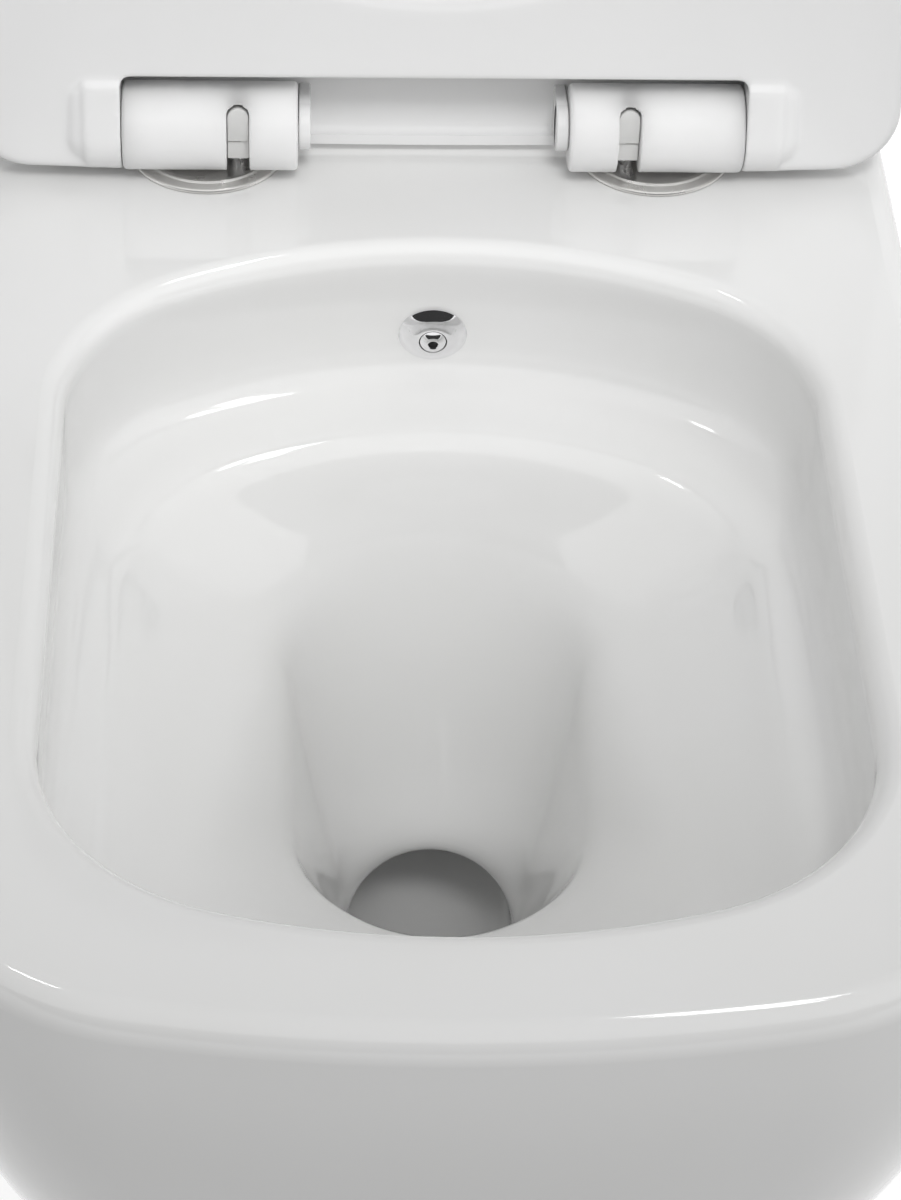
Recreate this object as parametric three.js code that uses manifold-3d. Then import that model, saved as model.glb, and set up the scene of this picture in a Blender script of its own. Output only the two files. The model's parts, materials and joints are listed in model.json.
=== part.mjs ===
// A wall hung toilet with a bidet jet, a lift-off soft close seat and a slim cover.
// Millimetres, +Z up. The wall is the plane y = 0, the pan reaches towards -Y, and the
// origin lies midway between the two wall studs. Seat and cover stand open.
import * as THREE from 'three';
import { mergeVertices } from 'three/addons/utils/BufferGeometryUtils.js';
import Module from 'manifold-3d';

// The pan's outside
const panWidth = 355;
const panDepth = 530;
const panHeight = 345;
const rimAboveStuds = 90;
const rimEdgeRadius = 10;
const footEdgeRadius = 8;
const panFrontArc = 560;
const panFrontCorner = 90;
const ceramicWall = 12;
const deckThickness = 18;

// The bowl and its opening
const openingSideBand = 43.5;
const openingFrontBand = 48;
const openingFromWall = 129;
const openingEdgeRadius = 8;
const bowlDepth = 207;
const bowlWall = 11;

// The trap behind the bowl and the outlet
const throatRadius = 32.5;
const trapBendRadius = 44;
const throatFromWall = 265;
const weirBelowRim = 130;
const weirFromWall = 106;
const weirRadius = 30;
const risingAngle = THREE.MathUtils.degToRad(63);
const trapPartingAboveSump = 17;
const trapWall = 8;
const outletBelowStuds = 100;
const outletRadius = 43;

// Inlet, wall fixing and ribs at the back of the pan
const inletAboveStuds = 35;
const inletRadius = 27.5;
const inletDepth = 52;
const inletWall = 10.5;
const studSpacing = 180;
const fixingBossRadius = 24;
const fixingBossLength = 62;
const fixingBoreRadius = 16;
const fixingRibHeight = 22;
const ribThickness = 22;
const sideScrewRadius = 4;
const sideScrewInset = 18.1;
const sideScrewFromWall = 35;
const sideScrewClearance = 1.2;
const sideCapRadius = 11;
const sideCapThickness = 3;
const sideCapEdge = 1;
const sideCapPlug = 6;
const sideCapRecess = 1.8;
const studBoreRadius = 6.2;
const fixingSleeveLength = 52;

// Seals on the two pipe ends
const inletSealLength = 28;
const inletSealWall = 4.5;
const sealChamfer = 1.5;
const outletSealLength = 15;
const outletSealWall = 5;

// The hinge: discs, posts and barrels
const discSpacing = 172.2;
const discFromWall = 64;
const discRadius = 30;
const discHeight = 3.4;
const discBevel = 1.1;
const discRingWidth = 6;
const plateHeight = 2.6;
const postRadius = 3.15;
const postInboard = 12.1;
const hingeFromWall = 77.5;
const hingeAboveRim = 20.6;
const postInFront = 1;
const postTopAboveAxis = 8;
const barrelRadius = 16.8;
const barrelInnerEnd = 51.4;
const barrelLength = 66.2;
const barrelEdgeRadius = 1.2;
const slotWidth = 8.6;
const slotTopAboveAxis = 14.2;
const clipFront = 8;
const clipThickness = 3.4;
const clipStep = 1.2;
const clipFootBelowAxis = 10.4;
const clipStepBelowAxis = 2;
const damperRadius = 10.2;
const damperLength = 30;
const damperShaftRadius = 4;
const coverPinRadius = 4;
const coverPinLength = 15;
const seatAxleRadius = 5;
const seatAxleGrip = 13;

// Seat bolts below the deck
const boltRadius = 4;
const boltLength = 62;
const boltHeadRadius = 7;
const boltHeadHeight = 1.5;
const boltHoleRadius = 8;
const coneFlangeRadius = 14;
const coneFlangeHeight = 6;
const coneRise = 6;
const coneTipRadius = 6;
const washerRadius = 13;
const washerThickness = 2;
const wingNutRadius = 8;
const wingNutHeight = 11;
const wingSpan = 32;
const wingThickness = 4;
const wingHeight = 7;

// The seat, measured from the hinge axis with the seat closed
const openAngle = THREE.MathUtils.degToRad(96);
const seatThickness = 16;
const seatBelowAxis = 10.6;
const seatRearReach = 16.5;
const seatSideInset = 0.5;
const seatFrontSetback = 3;
const seatEdgeRadius = 4.5;
const seatRearCorner = 25;
const seatRearArc = 4000;
const seatNotchReach = 25;
const seatSideBand = 65;
const seatHoleRear = 61;
const seatFrontBand = 67;
const seatHoleEdgeRadius = 5;
const lugRadius = 16.5;
const lugLength = 16;
const lugEndRadius = 3;
const shoulderLength = 21;
const shoulderHeight = 4;
const shoulderFront = 15.8;
const shoulderRear = 14.5;
const shoulderArc = 60;
const shoulderCorner = 6;
const shoulderEdge = 3;
const bumperLength = 26;
const bumperWidth = 11;
const bumperChamfer = 1.5;

// The cover, measured from the hinge axis with the cover closed
const coverUnderside = 18;
const coverPlate = 4;
const coverCrown = 2.5;
const coverSkirtWall = 4;
const coverLip = 4;
const coverRearReach = 15;
const coverInset = 1;
const coverSeatGap = 0.8;
const coverEdgeRadius = 5;
const coverEarRadius = 9.1;
const coverEarWidth = 4.5;

// The bidet jet
const jetBelowRim = 42;
const jetBehindOpening = 4;
const jetTilt = THREE.MathUtils.degToRad(6);
const jetFlangeRadius = 13.1;
const jetFlangeEdge = 1.2;
const jetDome = 4.2;
const jetBallRadius = 6;
const jetBallForward = 1.5;
const jetLip = 0.5;
const jetRecess = 8;
const jetWall = 9;
const jetHoleRadius = 1.8;
const jetBodyRadius = 8;
const jetBodyLength = 34;
const jetGasketRadius = 12;
const jetGasketThickness = 2;
const jetNutRadius = 14;
const jetNutHeight = 7;
const pipeRadius = 5;
const pipeOffset = 51;
const pipeBend = 12;
const couplingRadius = 9;
const couplingLength = 14;
const couplingSocket = 7;

// Gaps and counts
const gap = 0.3;
const overrun = 3;
const meshSlack = 0.01;
const joinDistance = 0.0001;
const arcSteps = 4;
const cornerSteps = 5;
const sideSteps = 2;
const roundSteps = 3;
const stepsPerRow = 2;
const bendSteps = 7;
const crownSteps = 4;
const domeSteps = 4;
const ballSteps = 7;
const pipeSteps = 16;
const coarseTurn = 16;
const fineTurn = 32;
const hexSides = 6;

// Shares of the bowl's depth, opening width and opening length that shape it from the rim
// down: depth at the back, depth at the front, width, back end, front end, then the back
// arc, back corner, front arc and front corner as shares of the half width at that level.
const bowlShares = [
  [0.038, 0.038, 1.0, 0.0, 1.0, 1.49, 0.56, 2.01, 0.6],
  [0.213, 0.213, 1.01, -0.011, 1.008, 1.49, 0.56, 2.01, 0.6],
  [0.271, 0.271, 0.975, 0.004, 0.997, 1.49, 0.57, 1.95, 0.6],
  [0.294, 0.292, 0.925, 0.045, 0.98, 1.47, 0.6, 1.9, 0.62],
  [0.309, 0.309, 0.865, 0.092, 0.957, 1.42, 0.62, 1.8, 0.64],
  [0.36, 0.37, 0.78, 0.114, 0.918, 1.36, 0.66, 1.6, 0.68],
  [0.415, 0.5, 0.6, 0.128, 0.8, 1.25, 0.72, 1.3, 0.75],
  [0.475, 0.66, 0.435, 0.148, 0.635, 1.12, 0.8, 1.12, 0.8],
  [0.62, 0.735, 0.385, 0.186, 0.6, 1.1, 0.82, 1.1, 0.82],
  [0.79, 0.83, 0.335, 0.225, 0.562, 1.08, 0.85, 1.08, 0.85],
  [0.93, 0.93, 0.285, 0.26, 0.522, 1.05, 0.9, 1.05, 0.9],
];

// Shares of the pan's height, half width and depth that shape its outside from the rim down
const panShares = [
  [0.03, 1.0, 1.0],
  [0.15, 0.99, 0.998],
  [0.33, 0.945, 0.972],
  [0.52, 0.87, 0.915],
  [0.7, 0.775, 0.83],
  [0.87, 0.665, 0.715],
  [0.975, 0.585, 0.64],
];

// The trap's fall from the weir to the outlet: shares of the way to the wall, of the fall and
// of the widening, each with the downward slope there in radians
const fallShares = [
  [0.24, 0.1, 0.08, 0.42],
  [0.44, 0.42, 0.35, 0.55],
  [0.62, 0.8, 0.7, 0.3],
  [0.85, 1, 1, 0],
];

// Derived sizes and places
const rimZ = rimAboveStuds;
const openingWidth = panWidth - 2 * openingSideBand;
const openingLength = panDepth - openingFromWall - openingFrontBand;
const seatWidth = panWidth - 2 * seatSideInset;
const seatHoleWidth = seatWidth - 2 * seatSideBand;
const openingBackY = -openingFromWall;
const openingHalf = openingWidth / 2;
const hingeY = -hingeFromWall;
const hingeZ = rimZ + hingeAboveRim;
const discX = discSpacing / 2;
const postX = discX - postInboard;
const barrelOuterEnd = barrelInnerEnd + barrelLength;
const studX = studSpacing / 2;
const spigotRadius = outletRadius + trapWall;
const jetY = jetBehindOpening - openingFromWall;
const jetZ = rimZ - jetBelowRim;
const sumpZ = rimZ - bowlDepth;
const trapPartingZ = sumpZ + trapPartingAboveSump;
const deckUnderside = rimZ - deckThickness;
const straightDown = -Math.PI / 2;
const seatTop = seatThickness - seatBelowAxis;
const seatFront = panDepth - seatFrontSetback - hingeFromWall;

const wasm = await Module();
wasm.setup();

// Removes normals, joins equal points, drops flat triangles and turns the faces outwards
function closedBody(geometry) {
  const bare = geometry.clone();
  for (const name of Object.keys(bare.attributes)) {
    if (name !== 'position') bare.deleteAttribute(name);
  }
  const merged = mergeVertices(bare, joinDistance);
  const source = merged.index.array;
  const kept = [];
  for (let i = 0; i < source.length; i += 3) {
    const [a, b, c] = [source[i], source[i + 1], source[i + 2]];
    if (a !== b && b !== c && c !== a) kept.push(a, b, c);
  }
  if (signedVolume(merged.attributes.position, kept) < 0) kept.reverse();
  merged.setIndex(kept);
  return merged;
}

function signedVolume(position, index) {
  const [p, q, r] = [new THREE.Vector3(), new THREE.Vector3(), new THREE.Vector3()];
  let total = 0;
  for (let i = 0; i < index.length; i += 3) {
    p.fromBufferAttribute(position, index[i]);
    q.fromBufferAttribute(position, index[i + 1]);
    r.fromBufferAttribute(position, index[i + 2]);
    total += p.dot(q.cross(r));
  }
  return total;
}

function toManifold(geometry) {
  const body = closedBody(geometry);
  return new wasm.Manifold(new wasm.Mesh({
    numProp: 3,
    vertProperties: new Float32Array(body.attributes.position.array),
    triVerts: new Uint32Array(body.index.array),
  }));
}

function fromManifold(manifold) {
  const mesh = manifold.simplify(meshSlack).getMesh();
  return bareGeometry(mesh.vertProperties, Array.from(mesh.triVerts));
}

function bareGeometry(coordinates, index) {
  const geometry = new THREE.BufferGeometry();
  geometry.setAttribute('position', new THREE.Float32BufferAttribute(coordinates, 3));
  geometry.setIndex(index);
  return geometry;
}

const join = (...geometries) => geometries.map(toManifold).reduce((all, next) => all.add(next));
const cut = (body, ...tools) => tools.map(toManifold).reduce((all, next) => all.subtract(next), body);

// Points from the middle of a rounded end to where the side begins. The end lies at y = reach
// and is drawn by a wide arc and a tighter corner arc that touch each other and the side.
function roundedEnd(half, reach, wideArc, cornerArc) {
  const arcCentre = reach - wideArc;
  const cornerX = half - cornerArc;
  const cornerY = arcCentre + Math.sqrt((wideArc - cornerArc) ** 2 - cornerX ** 2);
  const turn = Math.atan2(cornerX, cornerY - arcCentre);
  const points = [];
  for (let i = 0; i < arcSteps; i++) {
    const angle = turn * i / arcSteps;
    points.push([wideArc * Math.sin(angle), arcCentre + wideArc * Math.cos(angle)]);
  }
  for (let i = 0; i <= cornerSteps; i++) {
    const angle = turn + (Math.PI / 2 - turn) * i / cornerSteps;
    points.push([cornerX + cornerArc * Math.sin(angle), cornerY + cornerArc * Math.cos(angle)]);
  }
  return points;
}

// A closed outline from its right half, which runs from the back middle to the front middle
function mirrored(rightHalf) {
  const leftHalf = rightHalf.slice(1, -1).reverse().map(([x, y]) => [-x, y]);
  return [...rightHalf, ...leftHalf];
}

// Points strictly between two points of a side
function between([x0, y0], [x1, y1]) {
  const points = [];
  for (let i = 1; i < sideSteps; i++) {
    const share = i / sideSteps;
    points.push([x0 + (x1 - x0) * share, y0 + (y1 - y0) * share]);
  }
  return points;
}

function roundedOutline({ half, back, front, backArc, backCorner, frontArc, frontCorner }) {
  const backEnd = roundedEnd(half, back, backArc, backCorner);
  const frontEnd = roundedEnd(half, -front, frontArc, frontCorner).map(([x, y]) => [x, -y]).reverse();
  return mirrored([...backEnd, ...between(backEnd.at(-1), frontEnd[0]), ...frontEnd]);
}

const atHeight = (outline, z) => outline.map(([x, y]) => new THREE.Vector3(x, y, z));

// A closed skin over rings of equally many points, with a flat or fanned cap at each end
function loft(rings) {
  const count = rings[0].length;
  const points = rings.flat();
  const index = [];
  for (let ring = 0; ring < rings.length - 1; ring++) {
    for (let i = 0; i < count; i++) {
      const a = ring * count + i;
      const b = ring * count + (i + 1) % count;
      index.push(a, b, a + count, b, b + count, a + count);
    }
  }
  for (const [ring, flip] of [[0, true], [rings.length - 1, false]]) {
    const centre = new THREE.Vector3();
    rings[ring].forEach((point) => centre.add(point));
    points.push(centre.divideScalar(count));
    for (let i = 0; i < count; i++) {
      const a = ring * count + i;
      const b = ring * count + (i + 1) % count;
      index.push(...(flip ? [b, a, points.length - 1] : [a, b, points.length - 1]));
    }
  }
  return bareGeometry(points.flatMap((p) => p.toArray()), index);
}

// A smooth curve through the rows of a table, with the given number of steps between two rows
function smoothRows(rows, steps) {
  const row = (i) => rows[THREE.MathUtils.clamp(i, 0, rows.length - 1)];
  const result = [];
  for (let i = 0; i < rows.length - 1; i++) {
    const [before, from, to, after] = [row(i - 1), row(i), row(i + 1), row(i + 2)];
    for (let step = 0; step < steps; step++) {
      const t = step / steps;
      result.push(from.map((value, k) => throughPoints(before[k], value, to[k], after[k], t)));
    }
  }
  result.push(rows.at(-1));
  return result;
}

function throughPoints(before, from, to, after, t) {
  const slopeFrom = (to - before) / 2;
  const slopeTo = (after - from) / 2;
  const bend = 2 * (from - to) + slopeFrom + slopeTo;
  const rise = 3 * (to - from) - 2 * slopeFrom - slopeTo;
  return from + t * (slopeFrom + t * (rise + t * bend));
}

// A solid turned about +Z from [radius, height] points that start and end on the axis or close
function turned(profile, segments) {
  const points = profile.map(([radius, height]) => new THREE.Vector2(radius, height));
  return closedBody(new THREE.LatheGeometry(points, segments).rotateX(Math.PI / 2));
}

// Profile of a plain or bored cylinder from z = 0 up, with its outer edges cut at 45 degrees
function cylinderProfile(radius, height, bore = 0, chamfer = 0) {
  const outer = chamfer
    ? [[radius - chamfer, 0], [radius, chamfer], [radius, height - chamfer], [radius - chamfer, height]]
    : [[radius, 0], [radius, height]];
  const inner = bore ? [[bore, height], [bore, 0], outer[0]] : [[0, height]];
  return bore ? [...outer, ...inner] : [[0, 0], ...outer, ...inner];
}

const cylinder = (radius, height, bore, chamfer, segments = coarseTurn) =>
  turned(cylinderProfile(radius, height, bore, chamfer), segments);

// Turns a +Z solid to point along +X or towards the wall, +Y
const alongX = (geometry) => geometry.rotateY(Math.PI / 2);
const alongY = (geometry) => geometry.rotateX(-Math.PI / 2);

function box(width, depth, height) {
  return new THREE.BoxGeometry(width, depth, height);
}

// Steps of a quarter round: [inset, drop] pairs from the flat face to the side
function quarterRound(radius, steps = roundSteps) {
  return Array.from({ length: steps + 1 }, (_, i) => {
    const angle = (Math.PI / 2) * i / steps;
    return [radius * (1 - Math.sin(angle)), radius * (1 - Math.cos(angle))];
  });
}

// The pan

// Outline of the pan's outside, straight along the wall, with its end ring inset by a margin
function panOutline(half, depth, inset, backY) {
  const front = roundedEnd(half - inset, depth - inset, panFrontArc - inset, panFrontCorner - inset)
    .map(([x, y]) => [x, -y]).reverse();
  const side = front[0];
  const back = [];
  const backSteps = arcSteps + cornerSteps;
  for (let i = 0; i <= backSteps; i++) back.push([side[0] * i / backSteps, backY]);
  return mirrored([...back, ...between(back.at(-1), side), ...front]);
}

function panRing([level, width, depth], inset = 0, drop = 0, backY = 0) {
  const half = width * panWidth / 2;
  return atHeight(panOutline(half, depth * panDepth, inset, backY), rimZ - level * panHeight - drop);
}

const panRows = smoothRows(panShares, stepsPerRow);
const panTop = [0, ...panShares[0].slice(1)];
const panFoot = [1, ...panShares.at(-1).slice(1)];

function panOutside() {
  const rim = quarterRound(rimEdgeRadius).map(([inset, drop]) => panRing(panTop, inset, drop));
  const side = panRows.slice(1).map((row) => panRing(row));
  const foot = quarterRound(footEdgeRadius).map(([inset, rise]) => panRing(panFoot, inset, -rise));
  return loft([...rim, ...side, ...foot.slice(0, -1).reverse()]);
}

// The hollow inside the skirt, open at the wall
function panHollow() {
  const deck = panRing(panTop, ceramicWall, deckThickness, overrun);
  const side = panRows.slice(1).map((row) => panRing(row, ceramicWall, 0, overrun));
  const floor = panRing(panFoot, ceramicWall + footEdgeRadius, -ceramicWall, overrun);
  return loft([deck, ...side, floor]);
}

// One ring of the bowl, grown outwards by a wall for the bowl's outer skin
function bowlRing(shares, grow = 0) {
  const [backLevel, frontLevel, width, backEnd, frontEnd, ...arcs] = shares;
  const [backArc, backCorner, frontArc, frontCorner] = arcs;
  const half = width * openingHalf + grow;
  const back = openingBackY - backEnd * openingLength + grow;
  const front = openingBackY - frontEnd * openingLength - grow;
  const outline = roundedOutline({
    half, back, front,
    backArc: backArc * half, backCorner: backCorner * half,
    frontArc: frontArc * half, frontCorner: frontCorner * half,
  });
  return outline.map(([x, y]) => {
    const along = (back - y) / (back - front);
    const level = THREE.MathUtils.lerp(backLevel, frontLevel, along);
    return new THREE.Vector3(x, y, rimZ - level * bowlDepth - grow);
  });
}

// The opening's rounded edge, from above the rim down to the bowl's first ring
function openingEdge() {
  const first = [0, 0, ...bowlShares[0].slice(2)];
  const ring = (grow, z) => bowlRing(first, grow).map((point) => point.setZ(z));
  const edge = quarterRound(openingEdgeRadius).map(([inset, drop]) => ring(inset, rimZ - drop));
  return [ring(openingEdgeRadius, rimZ + overrun), ...edge.slice(0, -1)];
}

// A round ring of the trap, whose heading is measured from the direction of the wall
function trapRing(y, z, heading, radius, count) {
  const [ny, nz] = [-Math.sin(heading), Math.cos(heading)];
  return Array.from({ length: count }, (_, i) => {
    const angle = 2 * Math.PI * i / count;
    const up = radius * Math.cos(angle);
    return new THREE.Vector3(radius * Math.sin(angle), y + ny * up, z + nz * up);
  });
}

// Points of an arc that starts at straight down or level and turns to a heading
function arcLine(steps, from, to, place, radius) {
  return Array.from({ length: steps + 1 }, (_, i) => {
    const heading = THREE.MathUtils.lerp(from, to, i / steps);
    return [...place(heading), heading, radius];
  });
}

// Centre line of the trap: [y, z, heading, radius] from the sump over the weir to the outlet
function trapLine() {
  const r = trapBendRadius;
  const [weirY, weirZ] = [-weirFromWall, rimZ - weirBelowRim];
  const bend = (angle) => [r - throatFromWall + r * Math.sin(angle), sumpZ - r * Math.cos(angle)];
  const crown = (angle) => [weirY - r * Math.sin(angle), weirZ - r * (1 - Math.cos(angle))];
  const fall = fallShares.map(([along, fallen, widened, slope]) => [
    THREE.MathUtils.lerp(weirY, 0, along),
    THREE.MathUtils.lerp(weirZ, -outletBelowStuds, fallen),
    -slope,
    THREE.MathUtils.lerp(weirRadius, outletRadius, widened),
  ]);
  return [
    ...arcLine(bendSteps, straightDown, risingAngle, bend, throatRadius),
    ...arcLine(crownSteps, risingAngle, 0, crown, weirRadius),
    ...fall,
    [overrun, -outletBelowStuds, 0, outletRadius],
  ];
}

// The whole water way: opening, bowl, sump and trap in one skin
function waterWay() {
  const bowl = smoothRows(bowlShares, stepsPerRow).map((row) => bowlRing(row));
  const count = bowl[0].length;
  const trap = trapLine().map(([y, z, heading, radius]) => trapRing(y, z, heading, radius, count));
  return loft([...openingEdge(), ...bowl, ...trap]);
}

// Outer skin of the bowl, from just below the deck down to the sump's mouth
function bowlSkin(clearance = 0) {
  const rings = bowlShares.map((row) => bowlRing(row, bowlWall + clearance));
  const top = rings[0].map((point) => point.clone().setZ(deckUnderside - gap));
  const radius = throatRadius + bowlWall + clearance;
  const mouth = trapRing(-throatFromWall, sumpZ, straightDown, radius, top.length);
  return loft([top, ...rings, mouth]);
}

// Outer skin of the trap, from just below the bowl to the wall
function trapSkin(clearance = 0) {
  const end = clearance ? overrun : 0;
  const rings = trapLine().map(([y, z, heading, radius]) =>
    trapRing(Math.min(y, end), z, heading, radius + trapWall + clearance, fineTurn));
  rings[0].forEach((point) => point.setZ(sumpZ - gap));
  return loft(rings);
}

// Inlet horn, ribs and fixing bosses that stand inside the hollow
function innerCarriers() {
  const hornLength = inletDepth + ceramicWall;
  const horn = alongY(cylinder(inletRadius + inletWall, hornLength));
  horn.translate(0, -hornLength, inletAboveStuds);
  const ribHeight = deckUnderside + ceramicWall / 2 + outletBelowStuds;
  const rib = box(ribThickness, inletDepth, ribHeight);
  rib.translate(0, -inletDepth / 2, ribHeight / 2 - outletBelowStuds);
  const pieces = [horn, rib];
  for (const side of [-1, 1]) {
    const boss = alongY(cylinder(fixingBossRadius, fixingBossLength));
    pieces.push(boss.translate(side * studX, -fixingBossLength, 0));
    const reach = panWidth / 2 - ceramicWall / 2 - studX;
    const web = box(reach, fixingBossLength, fixingRibHeight);
    pieces.push(web.translate(side * (studX + reach / 2), -fixingBossLength / 2, 0));
  }
  return pieces;
}

// Holes for pipes, fixings and seat bolts
function panHoles() {
  const inlet = alongY(cylinder(inletRadius, inletDepth + overrun));
  const holes = [inlet.translate(0, -inletDepth, inletAboveStuds)];
  const sealRoom = spigotRadius + outletSealWall + 2 * gap;
  const sealSeat = alongY(cylinder(sealRoom, outletSealLength + overrun, spigotRadius, 0, fineTurn));
  holes.push(sealSeat.translate(0, -outletSealLength, -outletBelowStuds));
  for (const side of [-1, 1]) {
    const bore = alongY(cylinder(fixingBoreRadius, fixingBossLength + 2 * overrun));
    holes.push(bore.translate(side * studX, -fixingBossLength - overrun, 0));
    const screwLength = panWidth / 2 - studX + overrun;
    const screwHole = alongX(cylinder(sideScrewRadius + 2 * gap, screwLength));
    const screwX = side > 0 ? studX : -studX - screwLength;
    holes.push(screwHole.translate(screwX, -sideScrewFromWall, 0));
    const boltHole = cylinder(boltHoleRadius, deckThickness + 2 * overrun);
    holes.push(boltHole.translate(side * discX, -discFromWall, rimZ - deckThickness - overrun));
  }
  return [...holes, ...sideCapSeats()];
}

// The jet's hole and the flat faces around it in front of and behind the bowl's wall
function jetHoles() {
  const holeLength = jetWall + 2 * overrun;
  const hole = alongY(cylinder(jetBodyRadius + gap, holeLength)).translate(0, -overrun, 0);
  const front = alongY(cylinder(jetFlangeRadius + gap, jetRecess, 0, 0, fineTurn));
  front.translate(0, -jetRecess, 0);
  const back = alongY(cylinder(jetNutRadius + gap, overrun)).translate(0, jetWall, 0);
  return [hole, front, back].map(placedAtJet);
}

function sideCapSeats() {
  const seat = alongX(cylinder(sideCapRadius + gap, 2 * overrun));
  seat.translate(panHalfAt(0) - sideCapRecess, -sideScrewFromWall, 0);
  return [seat, onSide(seat, -1)];
}

// The outer casting with its deck, rib, horn and bosses
function panCeramic() {
  const hollow = toManifold(panHollow()).subtract(join(...innerCarriers()));
  const shell = toManifold(panOutside()).subtract(hollow);
  return fromManifold(cut(shell, trapSkin(gap), waterWay(), ...panHoles()));
}

const bowlCeramic = () => fromManifold(cut(toManifold(bowlSkin()), waterWay(), ...jetHoles()));

// The trap's four castings, parted at its lowest point, on its rise and at the weir
function trapCeramics() {
  const whole = cut(toManifold(trapSkin()), bowlSkin(gap), waterWay());
  const half = panDepth / 2;
  const lowestY = trapBendRadius - throatFromWall;
  const block = (y, z) => box(panWidth, panDepth, panDepth).translate(0, y, z);
  const above = block(-half, trapPartingZ + half);
  const below = block(-half, trapPartingZ + gap - half);
  const pastBend = block(lowestY + half, 0);
  const beforeBend = block(lowestY + gap - half, 0);
  const pastWeir = block(half - weirFromWall, 0);
  const beforeWeir = block(gap - weirFromWall - half, 0);
  const cuts = [[pastBend], [beforeBend, above, pastWeir], [below, pastWeir], [beforeWeir]];
  return cuts.map((blocks) => fromManifold(cut(whole, ...blocks)));
}

// Wall fixing, seals and side caps

function fixingSleeve() {
  const sleeve = alongY(cylinder(fixingBoreRadius - gap, fixingSleeveLength, studBoreRadius, gap));
  const crossHole = alongX(cylinder(sideScrewRadius + gap, fixingBoreRadius));
  crossHole.translate(studBoreRadius / 2, fixingSleeveLength - sideScrewFromWall, 0);
  return fromManifold(cut(toManifold(sleeve), crossHole)).translate(studX, -fixingSleeveLength, 0);
}

function sideScrew() {
  const start = studX + studBoreRadius + sideScrewClearance;
  const screw = alongX(cylinder(sideScrewRadius, panWidth / 2 - sideScrewInset - start, 0, gap));
  return screw.translate(start, -sideScrewFromWall, 0);
}

// The cap's plug fills the screw hole and its disc lies on the pan's side
function sideCap() {
  const plugRadius = sideScrewRadius + gap;
  const top = sideCapPlug + sideCapThickness;
  const profile = [
    [0, 0], [plugRadius, 0], [plugRadius, sideCapPlug], [sideCapRadius, sideCapPlug],
    [sideCapRadius, top - sideCapEdge], [sideCapRadius - sideCapEdge, top], [0, top],
  ];
  const plugX = panHalfAt(0) - sideCapRecess + gap - sideCapPlug;
  return alongX(turned(profile, coarseTurn)).translate(plugX, -sideScrewFromWall, 0);
}

// Half width of the pan's outside at a height, between the rows of its table
function panHalfAt(z) {
  const level = (rimZ - z) / panHeight;
  const i = panShares.findIndex((row) => row[0] > level);
  const [above, below] = [panShares[i - 1], panShares[i]];
  const share = (level - above[0]) / (below[0] - above[0]);
  return THREE.MathUtils.lerp(above[1], below[1], share) * panWidth / 2;
}

function inletSeal() {
  const seal = cylinder(inletRadius - gap, inletSealLength, inletRadius - inletSealWall, sealChamfer);
  return alongY(seal).translate(0, -inletSealLength, inletAboveStuds);
}

function outletSeal() {
  const length = outletSealLength - gap;
  const seal = cylinder(spigotRadius + outletSealWall, length, spigotRadius + gap, sealChamfer, fineTurn);
  return alongY(seal).translate(0, -length, -outletBelowStuds);
}

// Hinge discs, posts and seat bolts, drawn on the disc's axis with z = 0 on the deck

const plateRadius = discRadius - discRingWidth - gap;
const postFromDisc = discFromWall - hingeFromWall - postInFront;

function baseDisc() {
  const inner = discRadius - discRingWidth;
  const profile = [
    [inner, gap], [discRadius, gap], [discRadius, discHeight - discBevel],
    [discRadius - discBevel, discHeight], [inner + discBevel / 2, discHeight],
    [inner, discHeight - discBevel / 2], [inner, gap],
  ];
  return turned(profile, fineTurn);
}

function basePlate() {
  const plate = toManifold(cylinder(plateRadius, plateHeight - gap, 0, gap, fineTurn).translate(0, 0, gap));
  const bolt = cylinder(boltRadius + gap, plateHeight + 2 * overrun).translate(0, 0, -overrun);
  const head = cylinder(boltHeadRadius + gap, overrun + boltHeadHeight);
  head.translate(0, 0, plateHeight - boltHeadHeight - gap);
  const post = cylinder(postRadius + gap, plateHeight + 2 * overrun);
  post.translate(-postInboard, postFromDisc, -overrun);
  return fromManifold(cut(plate, bolt, head, post));
}

function hingePost() {
  const height = hingeAboveRim + postTopAboveAxis - gap;
  return cylinder(postRadius, height, 0, gap).translate(-postInboard, postFromDisc, gap);
}

function seatBolt() {
  const underHead = plateHeight - boltHeadHeight;
  const profile = [
    [0, underHead - boltLength], [boltRadius - gap, underHead - boltLength],
    [boltRadius, underHead - boltLength + gap], [boltRadius, underHead],
    [boltHeadRadius, underHead], [boltHeadRadius, plateHeight - gap],
    [boltHeadRadius - gap, plateHeight], [0, plateHeight],
  ];
  return turned(profile, coarseTurn);
}

const coneTop = -deckThickness - gap;
const washerTop = coneTop - coneFlangeHeight - gap;
const nutTop = washerTop - washerThickness - gap;

function coneWasher() {
  const bore = boltRadius + gap;
  const foot = coneTop - coneFlangeHeight;
  const profile = [
    [bore, foot], [coneFlangeRadius, foot], [coneFlangeRadius, coneTop], [boltHoleRadius - gap, coneTop],
    [coneTipRadius, coneTop + coneRise], [bore, coneTop + coneRise], [bore, foot],
  ];
  return turned(profile, coarseTurn);
}

function clampWasher() {
  const washer = cylinder(washerRadius, washerThickness, boltRadius + gap);
  return washer.translate(0, 0, washerTop - washerThickness);
}

function wingNut() {
  const hub = cylinder(wingNutRadius, wingNutHeight, 0, gap);
  const wings = box(wingSpan, wingThickness, wingHeight).translate(0, 0, wingHeight / 2);
  const bore = cylinder(boltRadius + gap, wingNutHeight + 2 * overrun).translate(0, 0, -overrun);
  return fromManifold(cut(join(hub, wings), bore)).translate(0, 0, nutTop - wingNutHeight);
}

// Barrels and what they hold, drawn for the right side about the hinge axis

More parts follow.
